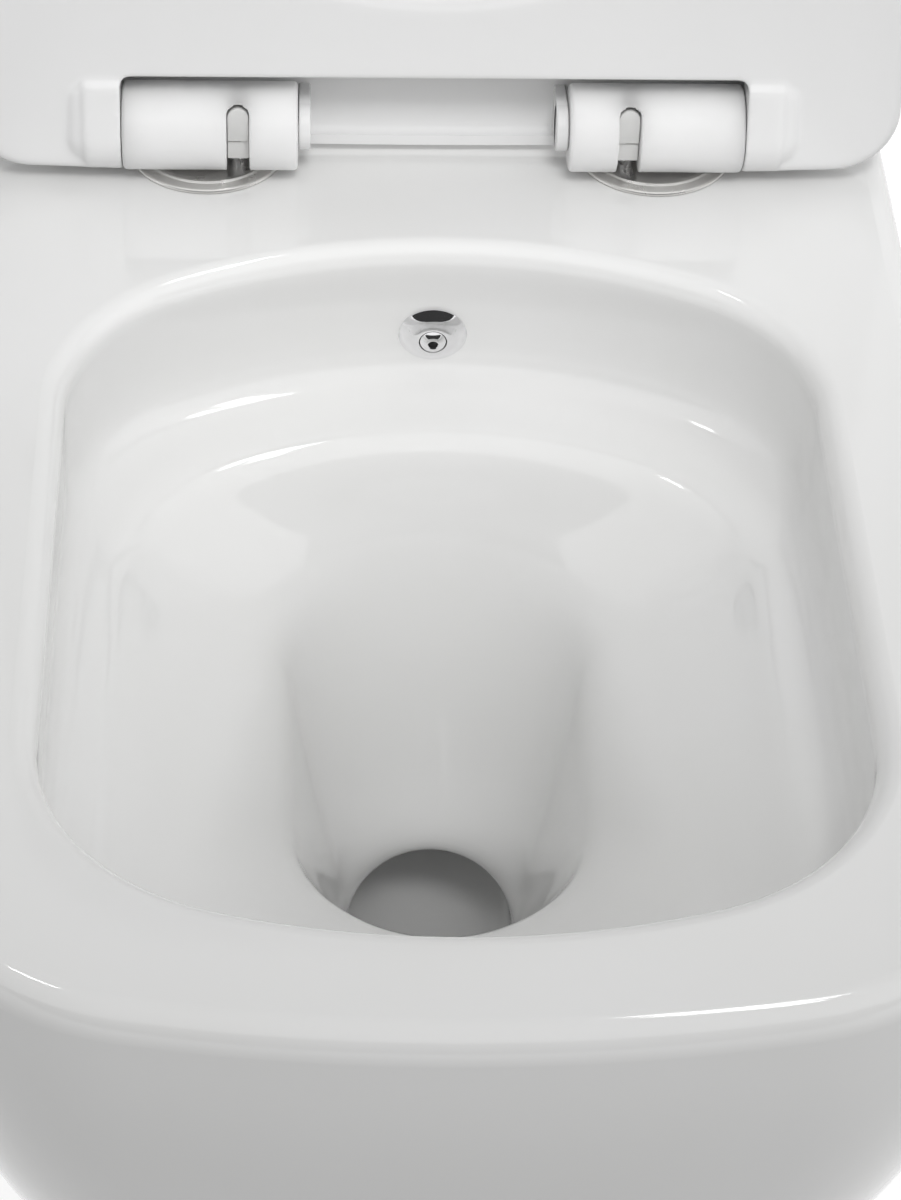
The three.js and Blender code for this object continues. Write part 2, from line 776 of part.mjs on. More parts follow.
// A plate with a round top, from its foot up, drawn in x and z and made thick towards +Y
function archPlate(width, foot, top, thickness) {
  const shape = new THREE.Shape();
  const radius = width / 2;
  shape.moveTo(-radius, foot);
  shape.lineTo(radius, foot);
  shape.absarc(0, top - radius, radius, 0, Math.PI, false);
  shape.closePath();
  const settings = { depth: thickness, bevelEnabled: false, curveSegments: coarseTurn / 2 };
  return new THREE.ExtrudeGeometry(shape, settings).rotateX(Math.PI / 2).translate(0, thickness, 0);
}

function hingeBarrel() {
  const shell = alongX(cylinder(barrelRadius, barrelLength, 0, barrelEdgeRadius, fineTurn));
  const slotFront = -barrelRadius - overrun;
  const slotDepth = postRadius - postInFront + 2 * gap - slotFront;
  const slot = archPlate(slotWidth, slotFront, slotTopAboveAxis, slotDepth).translate(postX, slotFront, 0);
  const damperBore = alongX(cylinder(damperRadius + gap, damperLength + 2 * gap + overrun));
  damperBore.translate(barrelOuterEnd - damperLength - 2 * gap, 0, 0);
  const pinBore = alongX(cylinder(coverPinRadius + gap, coverPinLength + overrun));
  pinBore.translate(barrelInnerEnd - overrun, 0, 0);
  return fromManifold(cut(toManifold(shell.translate(barrelInnerEnd, 0, 0)), slot, damperBore, pinBore));
}

// The clip behind the slot, thicker above its step
function postClip() {
  const width = slotWidth - 2 * gap;
  const top = slotTopAboveAxis - gap;
  const back = -clipFront + clipThickness;
  const thin = archPlate(width, -clipFootBelowAxis, top, clipThickness - clipStep);
  thin.translate(0, back - clipThickness + clipStep, 0);
  const thick = archPlate(width, -clipStepBelowAxis, top, clipThickness);
  thick.translate(0, back - clipThickness, 0);
  return fromManifold(join(thin, thick)).translate(postX, 0, 0);
}

function damper() {
  const body = alongX(cylinder(damperRadius, damperLength, 0, gap));
  body.translate(barrelOuterEnd - damperLength - gap, 0, 0);
  const bore = alongX(cylinder(damperShaftRadius + gap, seatAxleGrip + overrun));
  bore.translate(barrelOuterEnd - seatAxleGrip, 0, 0);
  return fromManifold(cut(toManifold(body), bore));
}

// The seat, closed, about the hinge axis

const lugInnerEnd = barrelOuterEnd + gap;

function seatOutline(inset) {
  return roundedOutline({
    half: seatWidth / 2 - inset,
    back: seatRearReach - inset,
    front: inset - seatFront,
    backArc: seatRearArc,
    backCorner: seatRearCorner - inset,
    frontArc: panFrontArc - inset,
    frontCorner: panFrontCorner - inset,
  });
}

// Shares of the hole's half width for its back arc, back corner, front arc and front corner
const seatHoleShares = [1.4, 0.62, 1.25, 0.7];

function seatHoleOutline(grow) {
  const half = seatHoleWidth / 2 + grow;
  const [backArc, backCorner, frontArc, frontCorner] = seatHoleShares.map((share) => share * half);
  const [back, front] = [grow - seatHoleRear, seatFrontBand - seatFront - grow];
  return roundedOutline({ half, back, front, backArc, backCorner, frontArc, frontCorner });
}

function seatRing() {
  const foot = -seatBelowAxis;
  const edge = quarterRound(seatEdgeRadius);
  const body = loft([
    ...edge.map(([inset, drop]) => atHeight(seatOutline(inset), foot + drop)),
    ...edge.map(([inset, drop]) => atHeight(seatOutline(inset), seatTop - drop)).reverse(),
  ]);
  const lip = quarterRound(seatHoleEdgeRadius);
  const hole = loft([
    atHeight(seatHoleOutline(seatHoleEdgeRadius), foot - overrun),
    ...lip.map(([grow, drop]) => atHeight(seatHoleOutline(grow), foot + drop)),
    ...lip.map(([grow, drop]) => atHeight(seatHoleOutline(grow), seatTop - drop)).reverse(),
    atHeight(seatHoleOutline(seatHoleEdgeRadius), seatTop + overrun),
  ]);
  const notchDepth = seatNotchReach + seatRearReach + overrun;
  const notch = box(2 * lugInnerEnd, notchDepth, seatThickness + 4 * overrun);
  notch.translate(0, notchDepth / 2 - seatNotchReach, seatTop - seatThickness / 2);
  const shoulders = join(seatShoulder(), onSide(seatShoulder(), -1));
  const plate = cut(toManifold(body).add(shoulders), hole, notch);
  const lugs = [seatLug(), onSide(seatLug(), -1)];
  const axleBore = alongX(cylinder(seatAxleRadius + gap, seatAxleGrip + 2 * gap + overrun));
  axleBore.translate(lugInnerEnd - overrun, 0, 0);
  return fromManifold(cut(plate.add(join(...lugs)), axleBore, onSide(axleBore, -1)));
}

// The raised shoulder under the seat that a lug grows out of
function seatShoulder() {
  const half = (shoulderLength + shoulderCorner) / 2;
  const outline = (inset) => roundedOutline({
    half: half - inset, back: shoulderRear - inset, front: inset - shoulderFront,
    backArc: shoulderArc, backCorner: shoulderCorner - inset,
    frontArc: shoulderArc, frontCorner: shoulderCorner - inset,
  });
  const foot = -seatBelowAxis - shoulderHeight;
  const edge = quarterRound(shoulderEdge).map(([inset, drop]) => atHeight(outline(inset), foot + drop));
  return loft([...edge, atHeight(outline(0), 0)]).translate(lugInnerEnd + shoulderLength - half, 0, 0);
}

function seatLug() {
  const round = quarterRound(lugEndRadius).reverse();
  const end = round.map(([inset, drop]) => [lugRadius - inset, lugLength - drop]);
  const lug = alongX(turned([[0, 0], [lugRadius, 0], ...end, [0, lugLength]], fineTurn));
  return lug.translate(lugInnerEnd, 0, 0);
}

// The axle is thick in the seat's lug and thin in the damper
function seatAxle() {
  const shoulder = seatAxleGrip - gap;
  const profile = [
    [0, 0], [damperShaftRadius, 0], [damperShaftRadius, shoulder], [seatAxleRadius, shoulder],
    [seatAxleRadius, 2 * seatAxleGrip], [0, 2 * seatAxleGrip],
  ];
  return alongX(turned(profile, coarseTurn)).translate(lugInnerEnd - seatAxleGrip + gap, 0, 0);
}

// A rubber pad with cut edges below its foot plane
function pad(height) {
  const shape = new THREE.Shape();
  const [x, y] = [bumperWidth / 2 - bumperChamfer, bumperLength / 2 - bumperChamfer];
  shape.moveTo(-x, -y);
  shape.lineTo(x, -y);
  shape.lineTo(x, y);
  shape.lineTo(-x, y);
  shape.closePath();
  const settings = {
    depth: height - bumperChamfer,
    bevelThickness: bumperChamfer / 2,
    bevelSize: bumperChamfer,
    bevelSegments: 1,
  };
  return new THREE.ExtrudeGeometry(shape, settings).translate(0, 0, bumperChamfer / 2);
}

// Shares of the seat's half width and length where pads sit
const seatPadShares = [[0.875, 0.3], [0.87, 0.72]];
const coverPadShares = [[0.82, 0.36], [0.8, 0.78]];

function seatPad([acrossShare, alongShare]) {
  const height = hingeAboveRim - seatBelowAxis - 2 * gap;
  const x = acrossShare * seatWidth / 2;
  return pad(height).translate(x, -alongShare * seatFront, -seatBelowAxis - gap - height);
}

// The cover, closed, about the hinge axis

function coverOutline(inset) {
  const margin = inset + coverInset;
  return roundedOutline({
    half: seatWidth / 2 - margin,
    back: coverRearReach - inset,
    front: margin - seatFront,
    backArc: seatRearArc,
    backCorner: seatRearCorner - inset,
    frontArc: panFrontArc - margin,
    frontCorner: panFrontCorner - margin,
  });
}

const earStart = barrelInnerEnd - gap - coverEarWidth;

// Shares of the cover's half width and of its crown for the rings of the domed top
const coverCrownShares = [[0.12, 0.45], [0.35, 0.85]];

function coverShell() {
  const foot = seatTop + coverSeatGap;
  const top = coverUnderside + coverPlate;
  const halfWidth = seatWidth / 2;
  const edge = quarterRound(coverEdgeRadius).reverse();
  const body = loft([
    atHeight(coverOutline(0), foot),
    ...edge.map(([inset, drop]) => atHeight(coverOutline(inset), top - drop)),
    ...coverCrownShares.map(([inset, rise]) => coverCrownRing(inset * halfWidth, top + rise * coverCrown)),
  ]);
  const inside = loft([
    atHeight(coverOutline(coverSkirtWall), foot - overrun),
    atHeight(coverOutline(coverSkirtWall), coverUnderside - coverSkirtWall / 2),
    atHeight(coverOutline(2 * coverSkirtWall), coverUnderside),
  ]);
  const gapWidth = 2 * (lugInnerEnd + shoulderLength + coverSkirtWall);
  const gapDepth = coverRearReach + seatNotchReach + overrun;
  const gapHeight = coverUnderside - coverLip - foot + overrun;
  const hingeGap = box(gapWidth, gapDepth, gapHeight);
  hingeGap.translate(0, gapDepth / 2 - seatNotchReach, coverUnderside - coverLip - gapHeight / 2);
  const shell = cut(toManifold(body), inside, hingeGap);
  const pinBore = alongX(cylinder(coverPinRadius + gap, coverEarWidth + 2 * overrun));
  pinBore.translate(earStart - overrun, 0, 0);
  const ears = join(coverEar(), onSide(coverEar(), -1));
  return fromManifold(cut(shell.add(ears), pinBore, onSide(pinBore, -1)));
}

// Rings of the domed top keep the outline's shape and shrink towards its middle
function coverCrownRing(inset, z) {
  const shrink = 1 - inset / (seatWidth / 2);
  const middleY = (coverRearReach - seatFront) / 2;
  const place = ([x, y]) => new THREE.Vector3(x * shrink, middleY + (y - middleY) * shrink, z);
  return coverOutline(coverEdgeRadius).map(place);
}

function coverEar() {
  const round = alongX(cylinder(coverEarRadius, coverEarWidth, 0, 0, fineTurn)).translate(earStart, 0, 0);
  const height = coverUnderside + coverPlate / 2;
  const web = box(coverEarWidth, 2 * coverEarRadius, height);
  web.translate(earStart + coverEarWidth / 2, 0, height / 2);
  return fromManifold(join(round, web));
}

function coverPin() {
  return alongX(cylinder(coverPinRadius, coverPinLength, 0, gap)).translate(earStart + gap, 0, 0);
}

function coverPad([acrossShare, alongShare]) {
  const height = coverUnderside - seatTop - 2 * gap;
  const x = acrossShare * seatWidth / 2;
  return pad(height).translate(x, -alongShare * seatFront, coverUnderside - gap - height);
}

// The bidet jet, drawn with +Y going into the bowl's back wall

const jetGasketStart = jetWall + gap;
const jetBallFlatShare = 0.86;

const outOfWall = (geometry) => geometry.rotateX(Math.PI / 2);
const placedAtJet = (geometry) => geometry.rotateX(jetTilt).translate(0, jetY, jetZ);

// The flange's inside is part of a sphere that holds the ball
function jetFlange() {
  const socket = jetBallRadius + gap;
  const places = Array.from({ length: domeSteps + 1 }, (_, i) => i / domeSteps);
  const seat = places.map((share) => {
    const height = THREE.MathUtils.lerp(jetDome, gap, share);
    return [Math.sqrt(socket ** 2 - (height - jetBallForward) ** 2), height];
  });
  const dome = places.map((share) => {
    const radius = THREE.MathUtils.lerp(jetFlangeRadius, seat[0][0] + jetLip, share);
    return [radius, THREE.MathUtils.lerp(jetFlangeEdge, jetDome, 1 - (1 - share) ** 2)];
  });
  return placedAtJet(outOfWall(turned([seat.at(-1), [jetFlangeRadius, gap], ...dome, ...seat], fineTurn)));
}

// A ball with a flat face in front and a hole that opens there
function jetBall() {
  const flatAngle = Math.asin(jetBallFlatShare);
  const skin = Array.from({ length: ballSteps + 1 }, (_, i) => {
    const angle = THREE.MathUtils.lerp(straightDown, flatAngle, i / ballSteps);
    return [i ? jetBallRadius * Math.cos(angle) : 0, jetBallRadius * Math.sin(angle)];
  });
  const flat = jetBallFlatShare * jetBallRadius;
  const profile = [...skin, [jetHoleRadius, flat], [jetHoleRadius, 0], [0, 0]];
  const ball = turned(profile, fineTurn).translate(0, 0, jetBallForward);
  return placedAtJet(outOfWall(ball));
}

function jetBody() {
  const socket = jetBallRadius + 2 * gap;
  const depth = socket - jetBallForward;
  const profile = [
    [0, jetBodyLength], [jetBodyRadius, jetBodyLength], [jetBodyRadius, 0],
    [socket, 0], [socket, depth], [0, depth],
  ];
  return placedAtJet(alongY(turned(profile, coarseTurn)));
}

function jetGasket() {
  const ring = alongY(cylinder(jetGasketRadius, jetGasketThickness, jetBodyRadius + gap));
  return placedAtJet(ring.translate(0, jetGasketStart, 0));
}

function jetNut() {
  const nut = alongY(cylinder(jetNutRadius, jetNutHeight, jetBodyRadius + gap, 0, hexSides * 2));
  return placedAtJet(nut.translate(0, jetGasketStart + jetGasketThickness + gap, 0));
}

// The supply pipe leaves the jet, steps aside past the inlet horn and ends in its coupling
function supplyPipe() {
  const z = jetZ + jetBodyLength * Math.sin(jetTilt);
  const startY = jetY + jetBodyLength * Math.cos(jetTilt) + 2 * gap;
  const crossY = startY + pipeBend + 2 * gap;
  const end = -couplingLength + pipeRadius;
  const corners = [[0, startY], [0, crossY], [pipeOffset, crossY], [pipeOffset, end]];
  const path = roundedPath(corners.map(([x, y]) => new THREE.Vector3(x, y, z)), pipeBend);
  const section = new THREE.Shape().absarc(0, 0, pipeRadius, 0, 2 * Math.PI, false);
  const settings = { steps: pipeSteps, curveSegments: coarseTurn / 2, extrudePath: path };
  return new THREE.ExtrudeGeometry(section, settings);
}

// Straight stretches joined by bends that start one radius before each corner
function roundedPath(corners, radius) {
  const path = new THREE.CurvePath();
  let from = corners[0];
  for (let i = 1; i < corners.length - 1; i++) {
    const [before, corner, after] = [corners[i - 1], corners[i], corners[i + 1]];
    const enter = corner.clone().add(before.clone().sub(corner).setLength(radius));
    const leave = corner.clone().add(after.clone().sub(corner).setLength(radius));
    path.add(new THREE.LineCurve3(from, enter));
    path.add(new THREE.QuadraticBezierCurve3(enter, corner, leave));
    from = leave;
  }
  path.add(new THREE.LineCurve3(from, corners.at(-1)));
  return path;
}

function supplyCoupling() {
  const z = jetZ + jetBodyLength * Math.sin(jetTilt);
  const bore = pipeRadius + gap;
  const inner = couplingLength - couplingSocket;
  const profile = [
    [bore, 0], [couplingRadius, 0], [couplingRadius, couplingLength], [couplingSocket, couplingLength],
    [couplingSocket, inner], [bore, inner], [bore, 0],
  ];
  return alongY(turned(profile, hexSides * 2)).translate(pipeOffset, -couplingLength, z);
}

// Puts a right hand piece on either side
function onSide(geometry, side) {
  return side > 0 ? geometry : closedBody(geometry.clone().scale(-1, 1, 1));
}

const finishes = {
  glaze: { color: 0xe9e9e8, roughness: 0.08, metalness: 0 },
  seatPlastic: { color: 0xeaeaea, roughness: 0.18, metalness: 0 },
  barrelPlastic: { color: 0xe6e6e6, roughness: 0.42, metalness: 0 },
  clipPlastic: { color: 0xc4c4c2, roughness: 0.5, metalness: 0 },
  steel: { color: 0xb9b6b1, roughness: 0.28, metalness: 1 },
  chrome: { color: 0xd9dadb, roughness: 0.05, metalness: 1 },
  rubber: { color: 0x2a2a2b, roughness: 0.8, metalness: 0 },
  softRubber: { color: 0xdadad8, roughness: 0.6, metalness: 0 },
  fixingPlastic: { color: 0xd2d2cf, roughness: 0.55, metalness: 0 },
};

function piece(parent, name, geometry, finish) {
  const mesh = new THREE.Mesh(closedBody(geometry), new THREE.MeshStandardMaterial(finishes[finish]));
  mesh.name = name;
  parent.add(mesh);
}

const sides = [[1, 'right'], [-1, 'left']];
const trapNames = ['trap_inlet_ceramic', 'trap_bend_ceramic', 'trap_weir_ceramic', 'outlet_ceramic'];

const toilet = new THREE.Group();
const hinge = new THREE.Group();
hinge.position.set(0, hingeY, hingeZ);
const opened = new THREE.Group();
opened.rotation.x = -openAngle;
hinge.add(opened);
toilet.add(hinge);

piece(toilet, 'pan_ceramic', panCeramic(), 'glaze');
piece(toilet, 'bowl_ceramic', bowlCeramic(), 'glaze');
trapCeramics().forEach((geometry, i) => piece(toilet, trapNames[i], geometry, 'glaze'));
piece(toilet, 'inlet_seal', inletSeal(), 'rubber');
piece(toilet, 'outlet_seal', outletSeal(), 'rubber');
piece(toilet, 'jet_flange', jetFlange(), 'chrome');
piece(toilet, 'jet_ball', jetBall(), 'chrome');
piece(toilet, 'jet_body', jetBody(), 'steel');
piece(toilet, 'jet_gasket', jetGasket(), 'rubber');
piece(toilet, 'jet_lock_nut', jetNut(), 'steel');
piece(toilet, 'supply_pipe', supplyPipe(), 'steel');
piece(toilet, 'supply_coupling', supplyCoupling(), 'steel');
piece(opened, 'seat_ring', seatRing(), 'seatPlastic');
piece(opened, 'cover_shell', coverShell(), 'seatPlastic');

for (const [side, word] of sides) {
  const deckPlace = new THREE.Group();
  deckPlace.position.set(side * discX, -discFromWall, rimZ);
  toilet.add(deckPlace);
  piece(deckPlace, `base_disc_${word}`, onSide(baseDisc(), side), 'steel');
  piece(deckPlace, `base_plate_${word}`, onSide(basePlate(), side), 'steel');
  piece(deckPlace, `hinge_post_${word}`, onSide(hingePost(), side), 'steel');
  piece(deckPlace, `seat_bolt_${word}`, seatBolt(), 'steel');
  piece(deckPlace, `cone_washer_${word}`, coneWasher(), 'rubber');
  piece(deckPlace, `clamp_washer_${word}`, clampWasher(), 'fixingPlastic');
  piece(deckPlace, `wing_nut_${word}`, wingNut(), 'fixingPlastic');
  piece(toilet, `fixing_sleeve_${word}`, onSide(fixingSleeve(), side), 'fixingPlastic');
  piece(toilet, `side_screw_${word}`, onSide(sideScrew(), side), 'steel');
  piece(toilet, `side_cap_${word}`, onSide(sideCap(), side), 'fixingPlastic');
  piece(hinge, `hinge_barrel_${word}`, onSide(hingeBarrel(), side), 'barrelPlastic');
  piece(hinge, `post_clip_${word}`, onSide(postClip(), side), 'clipPlastic');
  piece(hinge, `damper_${word}`, onSide(damper(), side), 'steel');
  piece(opened, `seat_axle_${word}`, onSide(seatAxle(), side), 'steel');
  piece(opened, `cover_pin_${word}`, onSide(coverPin(), side), 'steel');
  seatPadShares.forEach((place, i) => {
    piece(opened, `seat_pad_${i ? 'front' : 'rear'}_${word}`, onSide(seatPad(place), side), 'softRubber');
  });
  coverPadShares.forEach((place, i) => {
    piece(opened, `cover_pad_${i ? 'front' : 'rear'}_${word}`, onSide(coverPad(place), side), 'softRubber');
  });
}

export default toilet;
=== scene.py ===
# A wall hung toilet in soft studio light: glazed pan, gloss seat and cover, satin hinges.
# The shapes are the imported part's own, made smoother. Lengths are in millimetres in the
# tables and shapes, and MM turns them into Blender's metres.
import json
from contextlib import contextmanager
from math import asin, atan2, cos, pi, radians, sin, sqrt

import bmesh
import bpy
import numpy as np
from mathutils import Matrix, Vector
from mathutils.geometry import tessellate_polygon


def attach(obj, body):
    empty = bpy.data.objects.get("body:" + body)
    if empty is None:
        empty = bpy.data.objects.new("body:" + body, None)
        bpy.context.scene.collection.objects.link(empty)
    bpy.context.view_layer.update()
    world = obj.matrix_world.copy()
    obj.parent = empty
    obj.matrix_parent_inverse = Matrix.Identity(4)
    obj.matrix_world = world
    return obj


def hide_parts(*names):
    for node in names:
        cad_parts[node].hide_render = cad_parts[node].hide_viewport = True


MM = 0.001

# The clearance between neighbouring pieces
GAP = 0.3

# The pan, from the rim down and from the wall outwards
RIM_Z = 90
PAN_WIDTH = 355
PAN_DEPTH = 530
PAN_HEIGHT = 345
RIM_EDGE_RADIUS = 10
FOOT_EDGE_RADIUS = 8
PAN_FRONT_ARC = 560
PAN_FRONT_CORNER = 90
CERAMIC_WALL = 12
DECK_THICKNESS = 18
OPENING_WIDTH = 268
OPENING_FROM_WALL = 129
OPENING_LENGTH = 353
OPENING_EDGE_RADIUS = 8
BOWL_DEPTH = 207
BOWL_WALL = 11
HOLLOW_FILLET = 6
HOLLOW_SIDE_BELOW_DECK = 7

# The trap
THROAT_RADIUS = 32.5
TRAP_BEND_RADIUS = 44
THROAT_FROM_WALL = 265
WEIR_BELOW_RIM = 130
WEIR_FROM_WALL = 106
WEIR_RADIUS = 30
RISING_ANGLE = radians(63)
TRAP_WALL = 8
OUTLET_BELOW_STUDS = 100
OUTLET_RADIUS = 43
SPIGOT_EDGE = 1.5
SPIGOT_CORNER = 0.4

# Inlet, wall fixing and ribs at the back of the pan
INLET_Z = 35
INLET_RADIUS = 27.5
INLET_DEPTH = 52
INLET_WALL = 10.5
INLET_SEAL_LENGTH = 28
SEAL_WALL = 4.5
OUTLET_SEAL_LENGTH = 14.7
OUTLET_SEAL_WALL = 5
STUD_X = 90
BOSS_RADIUS = 24
BOSS_LENGTH = 62
BOSS_BORE = 16
HORN_EDGE = 2
BOSS_EDGE = 1.5
RIB_THICKNESS = 22
RIB_EDGE = 1.5
RIB_FRONT_FOOT = -26
RIB_BACK_FOOT = -53
RIB_INTO_DECK = 4
WEB_HEIGHT = 22
WEB_FROM_BORE = 4
WEB_END_X = 162
WEB_RECESS = 0.5
SIDE_SCREW_Y = -35
SIDE_CAP_RADIUS = 11
SIDE_CAP_THICKNESS = 3
SIDE_CAP_X = 170.9
PLUG_RADIUS = 4.3
PLUG_LENGTH = 6
SLEEVE_LENGTH = 52
STUD_BORE = 6.2

# Shares of the bowl's depth, opening width and opening length from the rim down: depth at
# the back, depth at the front, width, back end, front end, then the back arc, back corner,
# front arc and front corner as shares of the half width
BOWL_SHARES = [
    [0.038, 0.038, 1.0, 0.0, 1.0, 1.49, 0.56, 2.01, 0.6],
    [0.213, 0.213, 1.01, -0.011, 1.008, 1.49, 0.56, 2.01, 0.6],
    [0.271, 0.271, 0.975, 0.004, 0.997, 1.49, 0.57, 1.95, 0.6],
    [0.294, 0.292, 0.925, 0.045, 0.98, 1.47, 0.6, 1.9, 0.62],
    [0.309, 0.309, 0.865, 0.092, 0.957, 1.42, 0.62, 1.8, 0.64],
    [0.36, 0.37, 0.78, 0.114, 0.918, 1.36, 0.66, 1.6, 0.68],
    [0.415, 0.5, 0.6, 0.128, 0.8, 1.25, 0.72, 1.3, 0.75],
    [0.475, 0.66, 0.435, 0.148, 0.635, 1.12, 0.8, 1.12, 0.8],
    [0.62, 0.735, 0.385, 0.186, 0.6, 1.1, 0.82, 1.1, 0.82],
    [0.79, 0.83, 0.335, 0.225, 0.562, 1.08, 0.85, 1.08, 0.85],
    [0.93, 0.93, 0.285, 0.26, 0.522, 1.05, 0.9, 1.05, 0.9],
]

# Shares of the pan's height, half width and depth from the rim down
PAN_SHARES = [
    [0.03, 1.0, 1.0],
    [0.15, 0.99, 0.998],
    [0.33, 0.945, 0.972],
    [0.52, 0.87, 0.915],
    [0.7, 0.775, 0.83],
    [0.87, 0.665, 0.715],
    [0.975, 0.585, 0.64],
]

# The trap's fall: shares of the way to the wall, of the fall and of the widening, and slope
FALL_SHARES = [
    [0, 0, 0, 0],
    [0.24, 0.1, 0.08, 0.42],
    [0.44, 0.42, 0.35, 0.55],
    [0.62, 0.8, 0.7, 0.3],
    [0.85, 1, 1, 0],
    [1, 1, 1, 0],
]

# The hinge
HINGE_Y = -77.5
HINGE_Z = 110.6
DISC_X = 86.1
DISC_Y = -64
DISC_RADIUS = 30
DISC_HEIGHT = 3.4
DISC_RING_WIDTH = 6
DISC_RING_DROP = 2.2
DISC_RING_EDGE = 0.6
DISC_SLOPE_DROP = 0.7
DISC_BEAD_WIDTH = 1.9
DISC_BEAD_EDGE = 0.5
PLATE_HEIGHT = 2.6
POST_X = 74
POST_RADIUS = 3.15
POST_IN_FRONT = 1
POST_TOP_ABOVE_AXIS = 8
POST_NECK_FROM_TOP = 6
POST_NECK_LENGTH = 2.2
POST_NECK_DEPTH = 0.6
BARREL_RADIUS = 16.8
BARREL_INNER_END = 51.4
BARREL_LENGTH = 66.2
BARREL_EDGE_RADIUS = 0.9
BARREL_GRAIN = 0.5
BARREL_EASING = 3
SLOT_WIDTH = 8.6
SLOT_TOP_ABOVE_AXIS = 14.2
CLIP_FRONT = 8
CLIP_THICKNESS = 3.4
CLIP_STEP = 1.2
CLIP_FOOT_BELOW_AXIS = 10.4
CLIP_STEP_BELOW_AXIS = 2
CLIP_GROOVE = 0.9
CLIP_BRIDGE_SHARE = 0.38
CLIP_TOP_BELOW_SLOT = 2
EAR_RADIUS = 9.1
EAR_WIDTH = 4.5

# The bolt under each disc, its washers and its wing nut
BOLT_RADIUS = 4
BOLT_LENGTH = 62
BOLT_HEAD_RADIUS = 7
BOLT_HEAD_HEIGHT = 1.5
THREAD_FROM = 24
THREAD_PITCH = 1.25
THREAD_DEPTH = 0.35
NUT_BORE = 4.3
CONE_RADIUS = 14
CONE_HEIGHT = 6
WASHER_RADIUS = 13
WASHER_HEIGHT = 2
NUT_RADIUS = 8
NUT_HEIGHT = 11
WING_START = 5.5
WING_END = 16
WING_THICKNESS = 4
WING_FOOT = 0.2
WING_HEIGHT = 6.6
CONE_TOP = -DECK_THICKNESS - GAP
WASHER_TOP = CONE_TOP - CONE_HEIGHT - GAP
NUT_TOP = WASHER_TOP - WASHER_HEIGHT - GAP

# The seat and the cover, measured from the hinge axis with both closed
OPEN_ANGLE = radians(96)
SEAT_THICKNESS = 16
SEAT_BELOW_AXIS = 10.6
SEAT_TOP = SEAT_THICKNESS - SEAT_BELOW_AXIS
SEAT_REAR_REACH = 16.5
SEAT_WIDTH = 354
SEAT_FRONT = 449.5
SEAT_EDGE_RADIUS = 4.5
SEAT_REAR_CORNER = 25
SEAT_REAR_ARC = 4000
SEAT_NOTCH_REACH = 25
SEAT_NOTCH_CORNER = 4
SEAT_HOLE_WIDTH = 224
SEAT_HOLE_REAR = 61
SEAT_FRONT_BAND = 67
SEAT_HOLE_EDGE_RADIUS = 6
SEAT_HOLE_SPREAD = 1.6
SEAT_HOLE_SHARES = [1.4, 0.62, 1.25, 0.7]
SHOULDER_LENGTH = 21
# Each raised form's disc at the axle and at its crest as (y, z, radius), its length and its
# end's rounding. The shoulder is the lower step that the lug's end stands on.
RAISED_FORMS = {
    "shoulder": ((0, 0, 14), (-17.2, -6.2, 6.4), SHOULDER_LENGTH, 6.5),
    "lug": ((0, 0, 16.2), (-19.8, -10.4, 3.6), 14.3, 1.8),
}
# How far the soft joining of the forms reaches, and what it leaves as it is
LUG_EASE_REACH = 9
LUG_EASE_BELOW_TOP = 3
LUG_KEPT = 2
LUG_KEPT_BLEND = 4
SEAT_GRAIN = 1
SEAT_EASING = 4
LUG_EASING = 6
LUG_INNER_END = BARREL_INNER_END + BARREL_LENGTH + GAP
COVER_FOOT = SEAT_TOP + 0.8
COVER_UNDERSIDE = 18
COVER_PLATE = 4
COVER_CROWN = 2.5
COVER_SKIRT_WALL = 4
COVER_LIP = 4
COVER_REAR_REACH = 15
COVER_INSET = 1
COVER_EDGE_RADIUS = 5
COVER_GAP_EDGE = 1.5
COVER_CROWN_SHARE = 0.42
COVER_RISE_SHARE = 0.85
COVER_SHARES = [0.01, 0.03, 0.06, 0.09, 0.13, 0.18, 0.24, 0.3, 0.36, 0.42, 0.6, 0.8]
MOULD_EDGE = 0.8
PAD_WIDTH = 11
PAD_LENGTH = 26
PAD_EDGE = 1.5

# The jet
JET_Y = -125
JET_Z = 48
JET_TILT = radians(6)
JET_FLANGE_RADIUS = 13.1
JET_FLANGE_EDGE = 1.2
JET_FLANGE_BORE = 9
JET_DOME = 4.8
JET_BALL_RADIUS = 6
JET_BALL_FORWARD = 1.5
JET_HOLE_RADIUS = 1.8
JET_HOLE_DEPTH = 2.6
JET_BALL_FLAT_SHARE = 0.86
JET_WALL = 9
JET_BODY_RADIUS = 8
JET_BODY_LENGTH = 34
JET_BODY_BORE = 6.6
JET_BODY_BORE_DEPTH = 5.1
JET_GASKET_RADIUS = 12
JET_GASKET_HEIGHT = 2
JET_NUT_RADIUS = 14
JET_NUT_HEIGHT = 7
JET_NUT_BORE = 8.3
PIPE_RADIUS = 5
PIPE_OFFSET = 51
PIPE_BEND = 12
PIPE_END = 9
COUPLING_RADIUS = 9
COUPLING_BORE = 7
COUPLING_LENGTH = 14

# Steps of the shapes
ARC_STEPS = 14
CORNER_STEPS = 16
SIDE_STEPS = 10
EDGE_STEPS = 7
ROW_STEPS = 7
TURN_STEPS = 96
PIPE_STEPS = 32
PIPE_BEND_STEPS = 14
NUT_STEPS = 48
WASHER_STEPS = 64
JET_STEPS = 128
FINE_TURN_STEPS = 160
FILLET_STEPS = 4
SIDE_EASING = 6
WATER_EASING = 8
CUT_OVERRUN = 5
SHARP_ANGLE = radians(38)
BEVEL_ANGLE = radians(35)
POINT_WELD = 1e-6
PAN_WELD = 2e-6
ARCH_ANGLES = [pi * i / 24 for i in range(25)]

